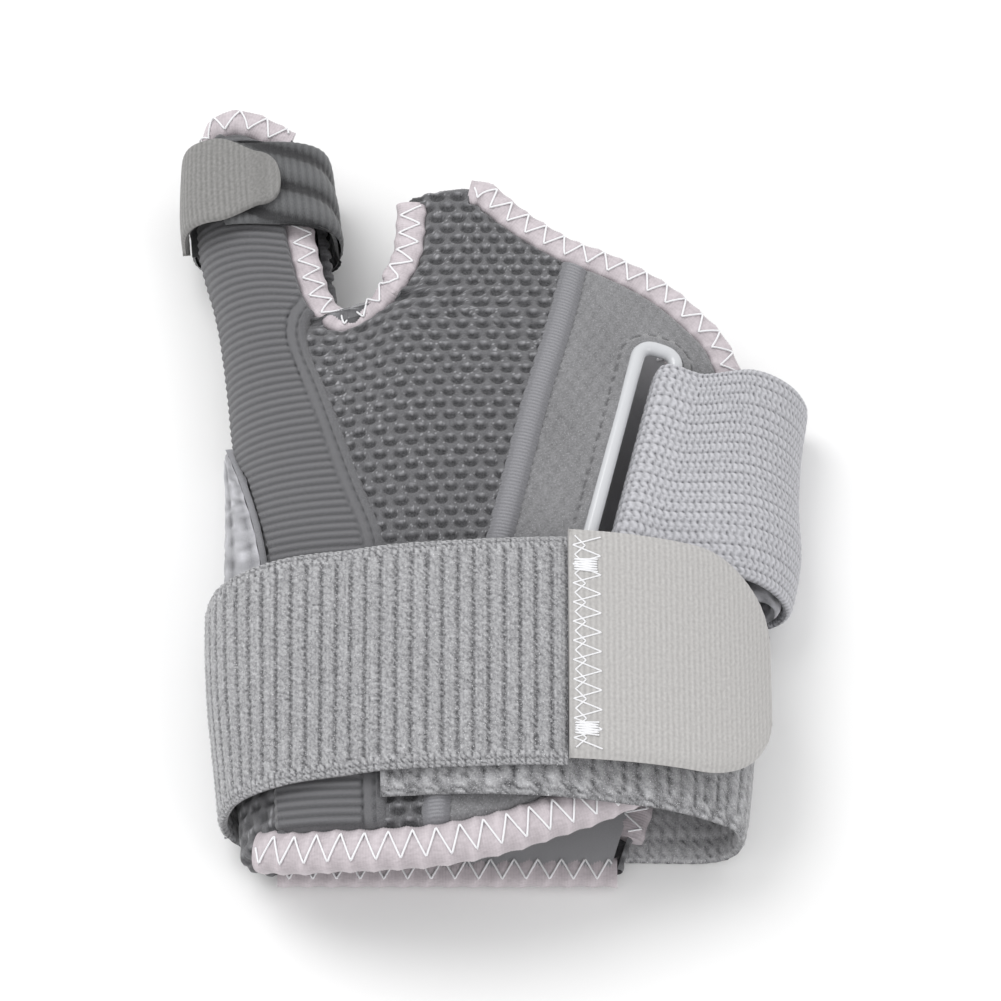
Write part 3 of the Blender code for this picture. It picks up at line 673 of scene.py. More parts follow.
def measures(points):
    """Millimetres across from the first column and down from the first row, along the cloth."""
    across = np.linalg.norm(np.diff(points, axis=1), axis=2)
    across = np.concatenate([np.zeros((len(points), 1)), np.cumsum(across, axis=1)], axis=1)
    down = np.linalg.norm(np.diff(points, axis=0), axis=2)
    down = np.concatenate([np.zeros((1, points.shape[1])), np.cumsum(down, axis=0)], axis=0)
    middle = down[:, points.shape[1] // 2][:, None] * np.ones(points.shape[1])
    return across * 1000, middle * 1000


def step_up(x, low, high):
    """Smooth step from 0 at low to 1 at high."""
    t = np.clip((x - low) / (high - low), 0, 1)
    return t * t * (3 - 2 * t)


class Skin:
    """Vertices, faces, pattern coordinates and tones of one piece, gathered patch by patch."""

    def __init__(self):
        self.points, self.faces, self.places, self.tones = [], [], [], []
        self.count = 0

    def add(self, points, u, v, tone, flip=False, keep=None, closed=False):
        """Add a grid of points, the cells to keep if not all, closed if its columns go round."""
        rows, columns = points.shape[:2]
        number = np.arange(rows * columns).reshape(rows, columns) + self.count
        if closed:
            number = np.concatenate([number, number[:, :1]], axis=1)
        a, b = number[:-1, :-1], number[:-1, 1:]
        c, d = number[1:, 1:], number[1:, :-1]
        faces = np.stack([d, c, b, a] if flip else [a, b, c, d], axis=-1).reshape(-1, 4)
        if keep is not None:
            faces = faces[keep.reshape(-1)]
        self.faces.append(faces)
        self.points.append(points.reshape(-1, 3))
        self.places.append(np.stack([u + 0 * points[..., 0], v + 0 * points[..., 0]],
                                    axis=-1).reshape(-1, 2))
        self.tones.append((tone + 0 * points[..., 0]).reshape(-1))
        self.count += rows * columns


def build(name, skin_parts, finish, slot, *nodes):
    """One shown piece that rides on the body and stands for its solids."""
    points = np.concatenate(skin_parts.points) + np.array(shift)
    faces = np.concatenate(skin_parts.faces)
    mesh = bpy.data.meshes.new(name)
    mesh.vertices.add(len(points))
    mesh.vertices.foreach_set("co", points.astype(np.float32).ravel())
    mesh.loops.add(faces.size)
    mesh.loops.foreach_set("vertex_index", faces.astype(np.int32).ravel())
    mesh.polygons.add(len(faces))
    mesh.polygons.foreach_set("loop_start", (np.arange(len(faces)) * 4).astype(np.int32))
    mesh.update(calc_edges=True)
    mesh.validate()
    tones = mesh.attributes.new("tone", "FLOAT", "POINT")
    tones.data.foreach_set("value", np.concatenate(skin_parts.tones).astype(np.float32))
    corners = np.zeros(len(mesh.loops), np.int32)
    mesh.loops.foreach_get("vertex_index", corners)
    layer = mesh.uv_layers.new(name="pattern")
    layer.data.foreach_set("uv", np.concatenate(skin_parts.places)[corners]
                           .astype(np.float32).ravel())
    mesh.shade_smooth()
    mesh.materials.append(finish)
    piece = bpy.data.objects.new(name, mesh)
    bpy.context.scene.collection.objects.link(piece)
    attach(piece, "root")
    if nodes:
        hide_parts(*nodes)
    return piece


# Border of a panel: share of its height, and bulge as a share of its height
BORDER = ((1, 0), (0.85, 0.25), (0.5, 0.4), (0.15, 0.25), (0, 0))
border_step = 0.4
coarse = 4
inner_tone = 0.8


def panel(parts, points, relief, tone, top, depth, flip=False, keep=None, u=None, v=None,
          out=None):
    """Cloth of some depth: a detailed outer face, a rounded border and a plain inner face."""
    out = outward(points, flip) if out is None else out
    across, down = measures(points)
    u = across if u is None else u
    v = down if v is None else v
    parts.add(points + out * (top + relief)[..., None], u, v, tone, flip, keep)
    inner = (points - out * depth)[::coarse, ::coarse]
    if keep is not None:
        rows, columns = inner.shape[:2]
        keep = keep[::coarse, ::coarse][:rows - 1, :columns - 1]
    parts.add(inner, u[::coarse, ::coarse], v[::coarse, ::coarse], inner_tone, not flip, keep)
    for line, beside in ((0, 1), (-1, -2)):
        for axis in (0, 1):
            take = (lambda a, k: a[k]) if axis == 0 else (lambda a, k: a[:, k])
            rim, normal = take(points, line), take(out, line)
            away = rim - take(points, beside)
            away /= np.maximum(np.linalg.norm(away, axis=1, keepdims=True), 1e-12)
            height = (take(top + relief, line) + depth)[:, None]
            strip = np.stack([rim + normal * (height * share - depth) + away * height * bulge
                              for share, bulge in BORDER])
            turned = ((axis == 0) == (line == -1)) != flip
            parts.add(strip, np.arange(len(rim))[None, :] * border_step,
                      np.arange(len(BORDER))[:, None] * border_step, take(tone, line)[None, :],
                      turned)


def oval(parts, centres, ups, width, thickness, around=20, power=0.75, tone=1.0, swell=None):
    """Sweep of an oval section, flat side towards ups, with a swell given along and around;
    where the swell draws in the tone is darker as painted shade, where it bulges lighter.
    """
    centres, ups = np.array([tuple(p) for p in centres]), np.array([tuple(p) for p in ups])
    ahead = np.gradient(centres, axis=0)
    length = np.concatenate([[0], np.cumsum(np.linalg.norm(np.diff(centres, axis=0), axis=1))])
    side = np.cross(ahead, ups)
    side /= np.linalg.norm(side, axis=1, keepdims=True)
    up = np.cross(side, ahead)
    up /= np.linalg.norm(up, axis=1, keepdims=True)
    angle = 2 * np.pi * np.arange(around) / around
    c, s = np.cos(angle), np.sin(angle)
    x = np.sign(c) * np.abs(c) ** power
    z = np.sign(s) * np.abs(s) ** power
    along_mm = length[:, None] * 1000 * np.ones(around)
    round_mm = angle[None, :] * width * 1000 / 4 * np.ones((len(centres), 1))
    grow = np.zeros(along_mm.shape) if swell is None else swell(along_mm, x[None, :], z[None, :])
    points = (centres[:, None] + side[:, None] * (x[None, :] * (width / 2 + grow))[..., None]
              + up[:, None] * (z[None, :] * (thickness / 2 + grow))[..., None])
    # Painted shade and light: the tone darkens in the tucks and lightens on the bulges of the swell
    parts.add(points, round_mm, along_mm, np.clip(tone + grow * 900, 0, 1), True, closed=True)
    for k, turn in ((0, False), (-1, True)):
        cap = np.stack([points[k], centres[k] + (points[k] - centres[k]) * 0.5,
                        centres[k] + (points[k] - centres[k]) * 0.02], 0)
        parts.add(cap, round_mm[:3], along_mm[:3], tone, turn, closed=True)
    return length, side, up


def thread(parts, points, radius=thread_radius, tone=1.0):
    """Round thread through a line of points."""
    points = np.array([tuple(p) for p in points])
    ahead = np.gradient(points, axis=0)
    ahead /= np.maximum(np.linalg.norm(ahead, axis=1, keepdims=True), 1e-12)
    side = np.cross(ahead, [0.31, 0.22, 0.93])
    side /= np.maximum(np.linalg.norm(side, axis=1, keepdims=True), 1e-12)
    up = np.cross(side, ahead)
    angle = 2 * np.pi * np.arange(6) / 6
    ring = (side[:, None] * np.cos(angle)[None, :, None]
            + up[:, None] * np.sin(angle)[None, :, None]) * radius
    length = np.arange(len(points))[:, None] * 0.3
    parts.add(points[:, None] + ring, np.arange(6)[None, :] * 0.2, length, tone, True, closed=True)


def zigzag(parts, centres, ups, width, height, pitch=zigzag_pitch, reach=0.66):
    """Zigzag stitches laid over the upper face of a binding."""
    c = np.array([tuple(p) for p in centres])
    u = np.array([tuple(p) for p in ups])
    length = np.concatenate([[0], np.cumsum(np.linalg.norm(np.diff(c, axis=0), axis=1))]) * 1000
    ahead = np.gradient(c, axis=0)
    side = np.cross(ahead, u)
    side /= np.linalg.norm(side, axis=1, keepdims=True)
    stops = np.arange(1.0, length[-1] - 1.0, 0.16)
    mid = np.stack([np.interp(stops, length, c[:, k]) for k in range(3)], 1)
    out = np.stack([np.interp(stops, length, u[:, k]) for k in range(3)], 1)
    beside = np.stack([np.interp(stops, length, side[:, k]) for k in range(3)], 1)
    phase = (stops / pitch) % 1.0
    wave = 1 - 4 * np.abs(phase - 0.5)
    drop = np.abs(wave * reach) ** 4
    points = (mid + beside * (wave * reach * width / 2)[:, None]
              + out * (height / 2 * (1 - 0.45 * drop) + 0.00008)[:, None])
    thread(parts, points)


def hug(points, relief, lines):
    """Tuck a panel's edge into its bindings: a line of centres and normals, its width, and the
    side of the line that lies off the cloth."""
    flat = points.reshape(-1, 3).copy()
    lift = relief.reshape(-1).copy()
    for (centres, ups), width, off_cloth, sunk in lines:
        c = np.array([tuple(p) for p in centres])[::3]
        u = np.array([tuple(p) for p in ups])[::3]
        side = np.cross(np.gradient(c, axis=0), u)
        side /= np.linalg.norm(side, axis=1, keepdims=True)
        low, high = c.min(0) - 0.009, c.max(0) + 0.009
        near = np.nonzero(((flat > low) & (flat < high)).all(1))[0]
        if not len(near):
            continue
        apart = flat[near][:, None, :2] - c[None, :, :2]
        nearest = (apart ** 2).sum(2).argmin(1)
        away = flat[near] - c[nearest]
        beyond = (nearest == 0) | (nearest == len(c) - 1)
        reach = (away * side[nearest]).sum(1)
        tuck = 1 - step_up(np.abs(reach), width * 0.36, width * 0.62)
        tuck[beyond] = 0
        lift[near] = lift[near] * (1 - tuck) - sunk * tuck
        off = (reach * off_cloth > 0) & (reach * off_cloth < 0.012) & ~beyond
        moved = near[off]
        flat[moved] -= side[nearest[off]] * reach[off][:, None]
        lift[moved] = -sunk
    return flat.reshape(points.shape), lift.reshape(relief.shape), outward(points)


def fuzz(shape, size):
    """Random nap of a given spread."""
    return rng.normal(0.0, size, shape)


# Materials
def add_node(tree, kind, links=(), settings=(), **values):
    """New shader node with its settings, its inputs' values and the sockets linked to them."""
    node = tree.nodes.new("ShaderNode" + kind)
    for name, value in dict(settings).items():
        setattr(node, name, value)
    for name, value in values.items():
        node.inputs[name.replace("_", " ")].default_value = value
    for name, socket in dict(links).items():
        tree.links.new(socket, node.inputs[name])
    return node


def value_mix(tree, factor, dark, light):
    return add_node(tree, "Mix", {"Factor": factor}, {"data_type": "RGBA"}, A=(*dark, 1),
                    B=(*light, 1)).outputs["Result"]


def noise(tree, place, scale, detail=3.0, stretch=(1, 1, 1)):
    mapping = add_node(tree, "Mapping", {"Vector": place}, Scale=stretch)
    return add_node(tree, "TexNoise", {"Vector": mapping.outputs["Vector"]}, Scale=scale,
                    Detail=detail).outputs["Fac"]


def math_node(tree, operation, first, second, clamp=False):
    node = add_node(tree, "Math", (), {"operation": operation, "use_clamp": clamp})
    tree.links.new(first, node.inputs[0])
    tree.links.new(second, node.inputs[1])
    return node.outputs["Value"]


def new_material(name, roughness):
    """A material, its tree and shader, and the pattern coordinates in millimetres."""
    result = bpy.data.materials.new(name)
    result.use_nodes = True
    tree = result.node_tree
    shader = tree.nodes["Principled BSDF"]
    shader.inputs["Roughness"].default_value = roughness
    return result, tree, shader, tree.nodes.new("ShaderNodeUVMap").outputs["UV"]


def cloth(name, dark, light, roughness, grain=2.0, stretch=(1, 1, 1), sheen=0.25, bump=0.5,
          fleck=None, fleck_share=0.62, weave=None, vary=0.22):
    """Cloth whose colour follows the relief's tone, with yarn grain, flecks and a fine weave."""
    result, tree, shader, place = new_material(name, roughness)
    shader.inputs["Sheen Weight"].default_value = sheen
    shader.inputs["Sheen Roughness"].default_value = 0.5
    shader.inputs["Specular IOR Level"].default_value = 0.25
    tone = add_node(tree, "Attribute", (), {"attribute_name": "tone"}).outputs["Fac"]
    yarn = noise(tree, place, grain, 4.0, stretch)
    spread = add_node(tree, "MapRange", {"Value": yarn}, From_Min=0.3, From_Max=0.7,
                      To_Min=-vary, To_Max=vary).outputs["Result"]
    colour = value_mix(tree, math_node(tree, "ADD", tone, spread, True), dark, light)
    if fleck:
        spots = noise(tree, place, grain * 1.7, 2.0, stretch)
        pick = add_node(tree, "MapRange", {"Value": spots}, From_Min=fleck_share,
                        From_Max=fleck_share + 0.08).outputs["Result"]
        colour = add_node(tree, "Mix", {"A": colour, "Factor": pick}, {"data_type": "RGBA"},
                          B=(*fleck, 1)).outputs["Result"]
    tree.links.new(colour, shader.inputs["Base Color"])
    height = noise(tree, place, grain * 2.2, 5.0, stretch)
    if weave:
        bands = add_node(tree, "TexWave", {"Vector": place}, {"bands_direction": weave[0]},
                         Scale=0.314 / weave[1], Distortion=0.6, Detail_Scale=4.0)
        height = math_node(tree, "ADD", height, bands.outputs["Fac"])
    raised = add_node(tree, "Bump", {"Height": height}, Strength=bump, Distance=0.0002)
    tree.links.new(raised.outputs["Normal"], shader.inputs["Normal"])
    return result


ribbed = cloth("ribbed_knit", (0.035, 0.035, 0.038), (0.20, 0.20, 0.21), 0.9, 3.0, (1, 3, 1),
               bump=0.6, fleck=(0.42, 0.42, 0.44), fleck_share=0.66)
air_mesh = cloth("air_mesh", (0.014, 0.014, 0.016), (0.44, 0.44, 0.46), 0.75, 3.4, (1, 2, 1),
                 bump=0.7, fleck=(0.50, 0.50, 0.53), fleck_share=0.70, vary=0.07)
piping_knit = cloth("piping_knit", (0.10, 0.10, 0.11), (0.34, 0.34, 0.36), 0.85, 2.5, (3, 1, 1))
flannel_loop = cloth("loop_flannel", (0.12, 0.12, 0.125), (0.30, 0.30, 0.31), 0.95, 2.2,
                     (1, 1, 1), sheen=0.5, bump=0.8, fleck=(0.42, 0.42, 0.43))
satin = cloth("satin_tape", (0.28, 0.25, 0.265), (0.66, 0.60, 0.63), 0.42, 0.9, (4, 1, 1),
              sheen=0.2, bump=0.3, weave=("Y", 0.55), vary=0.14)
stitch = cloth("white_thread", (0.70, 0.70, 0.72), (0.90, 0.90, 0.92), 0.5, 4.0, (1, 1, 1))
knit = cloth("grey_knit", (0.11, 0.11, 0.12), (0.60, 0.60, 0.635), 0.75, 2.6, (2, 1, 1),
             bump=0.5, fleck=(0.88, 0.88, 0.91), fleck_share=0.70, vary=0.10)
loop_face = cloth("loop_face", (0.08, 0.08, 0.085), (0.50, 0.50, 0.515), 0.8, 2.4, (1, 1, 1),
                  sheen=0.4, bump=0.8, fleck=(0.80, 0.80, 0.82), fleck_share=0.63)
hook_face = cloth("hook_tape", (0.33, 0.32, 0.315), (0.53, 0.52, 0.51), 0.7, 1.6, (1, 1, 1),
                  sheen=0.1, bump=0.3)
thumb_knit = cloth("thumb_elastic", (0.03, 0.03, 0.032), (0.15, 0.153, 0.158), 0.75, 2.2,
                   (1, 3, 1), sheen=0.3, bump=0.5)
thumb_hook = cloth("thumb_hook_tape", (0.13, 0.13, 0.125), (0.29, 0.285, 0.28), 0.7, 1.6,
                   (1, 1, 1), sheen=0.1, bump=0.3)


def gloss(name, colour):
    """Smooth moulded plastic with a faint cloud in its colour."""
    result, tree, shader, place = new_material(name, 0.16)
    shader.inputs["Coat Weight"].default_value = 0.4
    light = tuple(c * 1.06 for c in colour)
    tree.links.new(value_mix(tree, noise(tree, place, 0.2, 2.0), colour, light),
                   shader.inputs["Base Color"])
    return result


plastic = gloss("gloss_plastic", (0.56, 0.57, 0.59))


# Panels of the front wing
def crest_across(points):
    """Millimetres across the front, measured along the cloth from the first column's place."""
    across, _ = measures(points)
    return across + points[:, :1, 0] * 1000


def holes(u, v, wide, high):
    """Staggered oval holes, 1 in the middle of a hole and 0 between them, and a painted
    highlight on the yarn that crosses the top of each."""
    row = np.round(v / hole_down)
    shift_u = (row % 2) * hole_across / 2
    du = (u - shift_u + hole_across / 2) % hole_across - hole_across / 2
    dv = v - row * hole_down
    hole = 1 - step_up(np.sqrt((du / wide) ** 2 + (dv / high) ** 2), 0.55, 1.05)
    glint = np.exp(-(du / 0.62) ** 2 - ((dv - 0.95 * high) / 0.24) ** 2)
    return hole, glint


def mesh_pattern(u, v, wide, high):
    """Relief in metres and tone of the air mesh; the tone holds painted shade and highlights."""
    hole, glint = holes(u, v, wide, high)
    # Random bright specks on the webs: painted sparkle highlights
    sparkle_highlight = (rng.random(hole.shape) > 0.965) * (1 - hole) * 0.55
    yarn = 0.5 + 0.5 * np.sin(2 * np.pi * (u * 0.9 + v * 1.1) / 0.9)
    relief = -0.70 * hole + 0.16 * glint + 0.05 * yarn * (1 - hole)
    # Tone: darker in the holes as painted shade in the recesses, lighter at the glint as a painted
    # highlight
    tone = 0.26 - 0.17 * hole + 0.60 * glint + sparkle_highlight + 0.06 * yarn + fuzz(hole.shape, 0.035)
    return (relief + fuzz(hole.shape, 0.03)) / 1000, np.clip(tone, 0, 1)


def denser(line, count):
    """A line of centres and normals with more points."""
    centres = curve_points([Vector(p) for p in line[0]], count)
    places = np.linspace(0, len(line[1]) - 1, count)
    ups = []
    for place in places:
        k = min(int(place), len(line[1]) - 2)
        ups.append(line[1][k].lerp(line[1][k + 1], place - k).normalized())
    return centres, ups


web_line, palm_line = front_line(WEB_LINE, 620), front_line(PALM_LINE, 760)
wrist_line, tip_line = front_line(WRIST_LINE, 460), denser(rim_line(), 240)
bound_edges = [(web_line, binding_width, -1, 0.0016), (palm_line, binding_width, -1, 0.0016),
               (wrist_line, wrist_binding_width, 1, 0.0016)]

points = resample(stay_pocket(), 390, 64)
across, down = measures(points)
from_right = across[:, -1:] - across
side_y = points[..., 1] * 1000
ribs = 0.5 + 0.5 * np.cos(2 * np.pi * (side_y + 0.10 * points[..., 0] * 1000) / rib_pitch)
margin = step_up(from_right, 2.6, 3.3)
seam_line = np.exp(-((from_right - 2.9) / 0.25) ** 2) + np.exp(-((from_right - 0.5) / 0.3) ** 2)
stitched = seam_line * (0.7 + 0.3 * np.cos(2 * np.pi * side_y / 2.4))
relief = (0.30 * ribs * margin - 0.35 * stitched) / 1000
relief = relief + fuzz(relief.shape, 0.000015)
tone = np.clip(0.30 + 0.55 * ribs * margin + 0.40 * (1 - margin) - 0.6 * stitched, 0, 1)
stay_edges = [(web_line, binding_width, -1, 0.0028), (tip_line, binding_width, -1, 0.0020),
              (wrist_line, wrist_binding_width, 1, 0.0028)]
points, relief, out = hug(points, relief, stay_edges)
parts = Skin()
panel(parts, points, relief, tone, pocket_rise, sheet_thickness, out=out)
pocket = build("stay_pocket_cloth", parts, ribbed, "ribbed_knit", "stay_pocket")

points = resample(mesh_panel(), 430, 130)
u, v = crest_across(points), points[..., 1] * 1000
near_piping = step_up(v, 20, 60) + (1 - step_up(v, -60, -30))
relief, tone = mesh_pattern(u, v, 1.80 + 0.15 * near_piping, 1.05 + 0.12 * near_piping)
points, relief, out = hug(points, relief, bound_edges)
parts = Skin()
panel(parts, points, relief, tone, 0.0, sheet_thickness, u=u, v=v, out=out)
palm = build("palm_mesh_cloth", parts, air_mesh, "air_mesh", "palm_mesh_panel")

points = resample(piping(), 700, 16)
across, down = measures(points)
rib = 0.5 + 0.5 * np.cos(2 * np.pi * down / 0.75)
crown = np.sin(np.pi * np.linspace(0, 1, 16))[None, :]
relief = (0.10 * rib + 0.45 * crown) / 1000
points, relief, out = hug(points, relief, bound_edges[1:])
parts = Skin()
# Painted light and shade: the tone is lighter on the ribs along the crown of the round cord, darker
# towards its sides
panel(parts, points, relief, 0.45 + 0.4 * rib * crown, 0.0004, sheet_thickness, out=out)
build("panel_piping_knit", parts, piping_knit, "piping_knit", "panel_piping")

points = resample(flannel(), 330, 110)
u, v = crest_across(points), points[..., 1] * 1000
centre, along_u, along_v, along_n = ring_frame()
offset = points - np.array(centre)
ring_u = np.abs(offset @ np.array(along_u)) * 1000
ring_v = np.abs(offset @ np.array(along_v)) * 1000
half_u, half_v = ring_length * 500, ring_width * 500
outside = np.maximum(ring_u - half_u, ring_v - half_v)
corner = np.hypot(np.maximum(ring_u - half_u + 3, 0), np.maximum(ring_v - half_v + 3, 0)) - 3
outside = np.where((ring_u > half_u - 3) & (ring_v > half_v - 3), corner, outside)
around = np.where(ring_v > half_v, offset @ np.array(along_u), offset @ np.array(along_v)) * 1000
dash = 0.5 + 0.5 * np.sign(np.sin(2 * np.pi * around / 2.8) + 0.35)
line = np.exp(-((outside - 3.4) / 0.28) ** 2)
across, _ = measures(points)
seam = np.exp(-((across - 0.5) / 0.35) ** 2)
seam_dash = 0.6 + 0.4 * np.cos(2 * np.pi * v / 1.7)
raised = 0.7 * (1 - step_up(outside, 2.6, 4.2))
relief = (raised - 0.5 * line * dash - 0.4 * seam * seam_dash) / 1000
nap = fuzz(relief.shape, 0.00003)
nap = nap + 0.00004 * np.sin(u * 1.9 + 0.8 * np.sin(v * 0.7)) * np.sin(v * 1.3)
tone = np.clip(0.5 + 0.09 * np.sin(u * 0.31 + 1.2) * np.sin(v * 0.17) - 0.55 * line * dash
               - 0.5 * seam * seam_dash + nap * 2500, 0, 1)
cells = outside[:-1, :-1] > 1.3
points, relief, out = hug(points, relief + nap, bound_edges[1:])
parts = Skin()
panel(parts, points, relief, tone, 0.0, sheet_thickness * 0.7, keep=cells, u=u, v=v,
      out=out)
fleece = build("ring_panel_flannel", parts, flannel_loop, "loop_flannel", "ring_panel")


# The back sheet: the stay's side and the underside, with the web's slit between two tongues
def mesh_patch(parts, grid, rows, columns, flip=False):
    """Patch of air mesh from one part of the back sheet's grid."""
    points = resample(grid, rows, columns)
    across, down = measures(points)
    relief, tone = mesh_pattern(across, points[..., 1] * 1000, 1.80, 1.05)
    panel(parts, points, relief, tone, 0.0, sheet_thickness, flip, u=across,
          v=points[..., 1] * 1000)


grid = back_grid()
parts = Skin()
mesh_patch(parts, [row[:thumb_columns + 1] for row in grid], 220, 70, flip=True)
mesh_patch(parts, [row[thumb_columns + 1:] for row in grid], 190, 80, flip=True)
mesh_patch(parts, [row[thumb_columns:thumb_columns + 2] for row in grid[:low_rows + 1]], 140, 28,
           flip=True)
back = build("back_mesh_cloth", parts, air_mesh, "air_mesh", "back_sheet")


# Bindings, each with its zigzag stitches
def puckers(depth, pitch=zigzag_pitch):
    """Swell of a binding that its stitches draw in, with the tape's fine ribs."""
    def swell(length, x, z):
        ribs = 0.05 * np.cos(2 * np.pi * length / 0.55)
        tuck = np.abs(np.cos(np.pi * length / pitch + 0.7 * x))
        wave = 0.35 * np.sin(length * 0.43 + 1.3 * x) * np.sin(length * 0.17)
        return (ribs - depth * tuck * (0.4 + 0.6 * np.abs(x)) + 0.3 * wave * depth) / 1000
    return swell


def binding(name, node, line, width, thickness, depth=0.30):
    """Puckered satin binding and its zigzag stitches."""
    centres, ups = line
    parts = Skin()
    oval(parts, centres, ups, width, thickness, swell=puckers(depth), tone=0.80)
    build(name, parts, satin, "satin_tape", node)
    seams = Skin()
    zigzag(seams, centres, ups, width, thickness)
    build(name + "_stitch", seams, stitch, "satin_tape")


binding("web_binding_satin", "web_binding", web_line, binding_width, binding_thickness)
binding("palm_edge_binding_satin", "palm_edge_binding", palm_line, binding_width,
        binding_thickness)
binding("thumb_rim_binding_satin", "thumb_rim_binding", tip_line, binding_width,
        binding_thickness + pocket_rise)
binding("wrist_front_binding_satin", "wrist_front_binding", wrist_line,
        wrist_binding_width, wrist_binding_thickness, 0.35)
base_line, free_line = back_lines()
binding("wrist_back_binding_satin", "wrist_back_binding", denser(base_line, 330), binding_width,
        back_binding_thickness)
binding("back_edge_binding_satin", "back_edge_binding", denser(free_line, 800), binding_width,
        back_binding_thickness)

# The slot ring
outline = ring_outline(0.0)
ring_path = [in_ring(*outline[k], 0) for k in range(len(outline))] + [in_ring(*outline[0], 0)]
dense = [p for k in range(len(ring_path) - 1)
         for p in [ring_path[k].lerp(ring_path[k + 1], n / 8) for n in range(8)]]
closed_path = np.array([tuple(p) for p in dense])
for _ in range(3):
    closed_path = (np.roll(closed_path, 1, 0) + 2 * closed_path + np.roll(closed_path, -1, 0)) / 4
ahead = np.roll(closed_path, -1, 0) - np.roll(closed_path, 1, 0)
ahead /= np.linalg.norm(ahead, axis=1, keepdims=True)
up = np.array(along_n)[None, :] * np.ones((len(closed_path), 1))
side = np.cross(ahead, up)
angle = 2 * np.pi * np.arange(28) / 28
wire = closed_path[:, None] + (side[:, None] * np.cos(angle)[None, :, None]
                               + up[:, None] * np.sin(angle)[None, :, None]) * ring_bar / 2
wire = np.concatenate([wire, wire[:1]], 0)
parts = Skin()
parts.add(wire, angle[None, :] * 1.5, np.arange(len(wire))[:, None] * 0.4, 0.8, True, closed=True)
build("slot_ring_gloss", parts, plastic, "gloss_plastic", "slot_ring")


# Straps
def strap(name, node, finish, slot_name, runs, half, face, other, flip=False):
    """Strap with its own pattern on each face and rounded selvedges, in runs of rows that each
    have their own count of columns."""
    parts = Skin()
    start = 0.0
    for rows, columns in runs:
        points = resample(rows, len(rows), columns)
        out = outward(points, flip)
        across, down = measures(points)
        down = down + start
        start = down[-1, 0]
        width = across[:, -1:]
        crown = np.sqrt(np.clip(1 - (2 * across / width - 1) ** 16, 0, 1))
        for side_sign, pattern in ((1, face), (-1, other)):
            relief, tone = pattern(across, down, width)
            lift = (half * crown + relief) * side_sign
            parts.add(points + out * lift[..., None], across, down, tone,
                      flip if side_sign > 0 else not flip)
        for end in (0, -1):
            strip = np.stack([points[end] + out[end] * half * k for k in (1, 0, -1)], 0)
            parts.add(strip, across[end][None], np.arange(3)[:, None] * 0.5, 0.5, end == 0)
    return build(name, parts, finish, slot_name, node)


def split_run(rows, visible, thin, hidden_columns, columns):
    """The hidden start of a strap in fewer rows, and its visible end in all of them."""
    return [(rows[:-visible:thin] + [rows[-visible]], hidden_columns), (rows[-visible:], columns)]


def chevrons(across, down, width):
    """Rows of knitted V stitches that run along the strap, with a firm selvedge."""
    row = across / knit_row
    fold = np.abs(row % 1.0 - 0.5) * 2
    phase = (down / knit_step + 0.55 * fold) % 1.0
    bead = np.sin(np.pi * phase) ** 0.7
    gully = np.exp(-(np.minimum(row % 1.0, 1 - row % 1.0) / 0.13) ** 2)
    middle = np.exp(-((row % 1.0 - 0.5) / 0.09) ** 2)
    height = 0.30 * bead - 0.34 * gully - 0.10 * middle
    tone = 0.30 + 0.70 * bead - 0.60 * gully * (1 - 0.4 * bead) - 0.18 * middle
    tone = np.clip(tone + fuzz(bead.shape, 0.05), 0, 1)
    return height / 1000, tone


def loops(across, down, width):
    """Loop face: columns of slots across the strap's run, with a picot selvedge."""
    edge = np.minimum(across, width - across)
    body = step_up(edge, 2.2, 3.0)
    column = (down / loop_row) % 1.0
    slot_line = np.exp(-((column - 0.5) / 0.13) ** 2)
    cell = 0.5 + 0.5 * np.cos(2 * np.pi * across / loop_step + np.pi * (column > 0.5))
    weft = 0.5 + 0.5 * np.cos(2 * np.pi * down / 0.75)
    picot_u = (down / loop_step) % 1.0
    picot_v = (edge % 1.15) / 1.15
    picot = np.exp(-((np.hypot((picot_u - 0.5) * 1.5, (picot_v - 0.5) * 1.3) - 0.45) / 0.16) ** 2)
    height = body * (0.16 * cell * (1 - slot_line) + 0.08 * weft - 0.30 * slot_line * (1 - 0.5 * cell))
    height = height + (1 - body) * 0.28 * picot
    tone = body * (0.55 + 0.3 * cell * weft - 0.7 * slot_line * (1 - 0.4 * cell))
    tone = tone + (1 - body) * (0.2 + 0.8 * picot) + fuzz(tone.shape, 0.14)
    return (height + fuzz(height.shape, 0.05)) / 1000, np.clip(tone, 0, 1)


def fine_ribs(across, down, width):
    """Hook tape: fine ribs across the strap's run."""
    rib = 0.5 + 0.5 * np.cos(2 * np.pi * down / hook_pitch)
    seam = 0.5 + 0.5 * np.cos(2 * np.pi * across / 0.8)
    return 0.07 * rib / 1000, 0.45 + 0.30 * rib + 0.08 * seam * rib


def plain_weave(across, down, width):
    """Back of a hook tape."""
    rib = 0.5 + 0.5 * np.cos(2 * np.pi * across / 1.1)
    weft = 0.5 + 0.5 * np.cos(2 * np.pi * down / 0.9)
    return 0.06 * rib * weft / 1000, 0.35 + 0.35 * rib * weft


def creased(across, down, width):
    """Stretched thumb elastic: ribs across its run with slanting creases."""
    rib = 0.5 + 0.5 * np.cos(2 * np.pi * down / 1.5)
    slant = np.sin(2 * np.pi * (across * 0.9 + down * 0.35) / 7.5 + 0.7 * np.sin(down * 0.2))
    crease = np.exp(-((slant + 0.9) / 0.35) ** 2)
    height = 0.14 * rib + 0.22 * slant - 0.35 * crease
    # The tone is darker in the creases as painted shade and lighter on the rising slant as painted
    # light
    return height / 1000, np.clip(0.42 + 0.3 * rib + 0.2 * slant - 0.5 * crease, 0, 1)


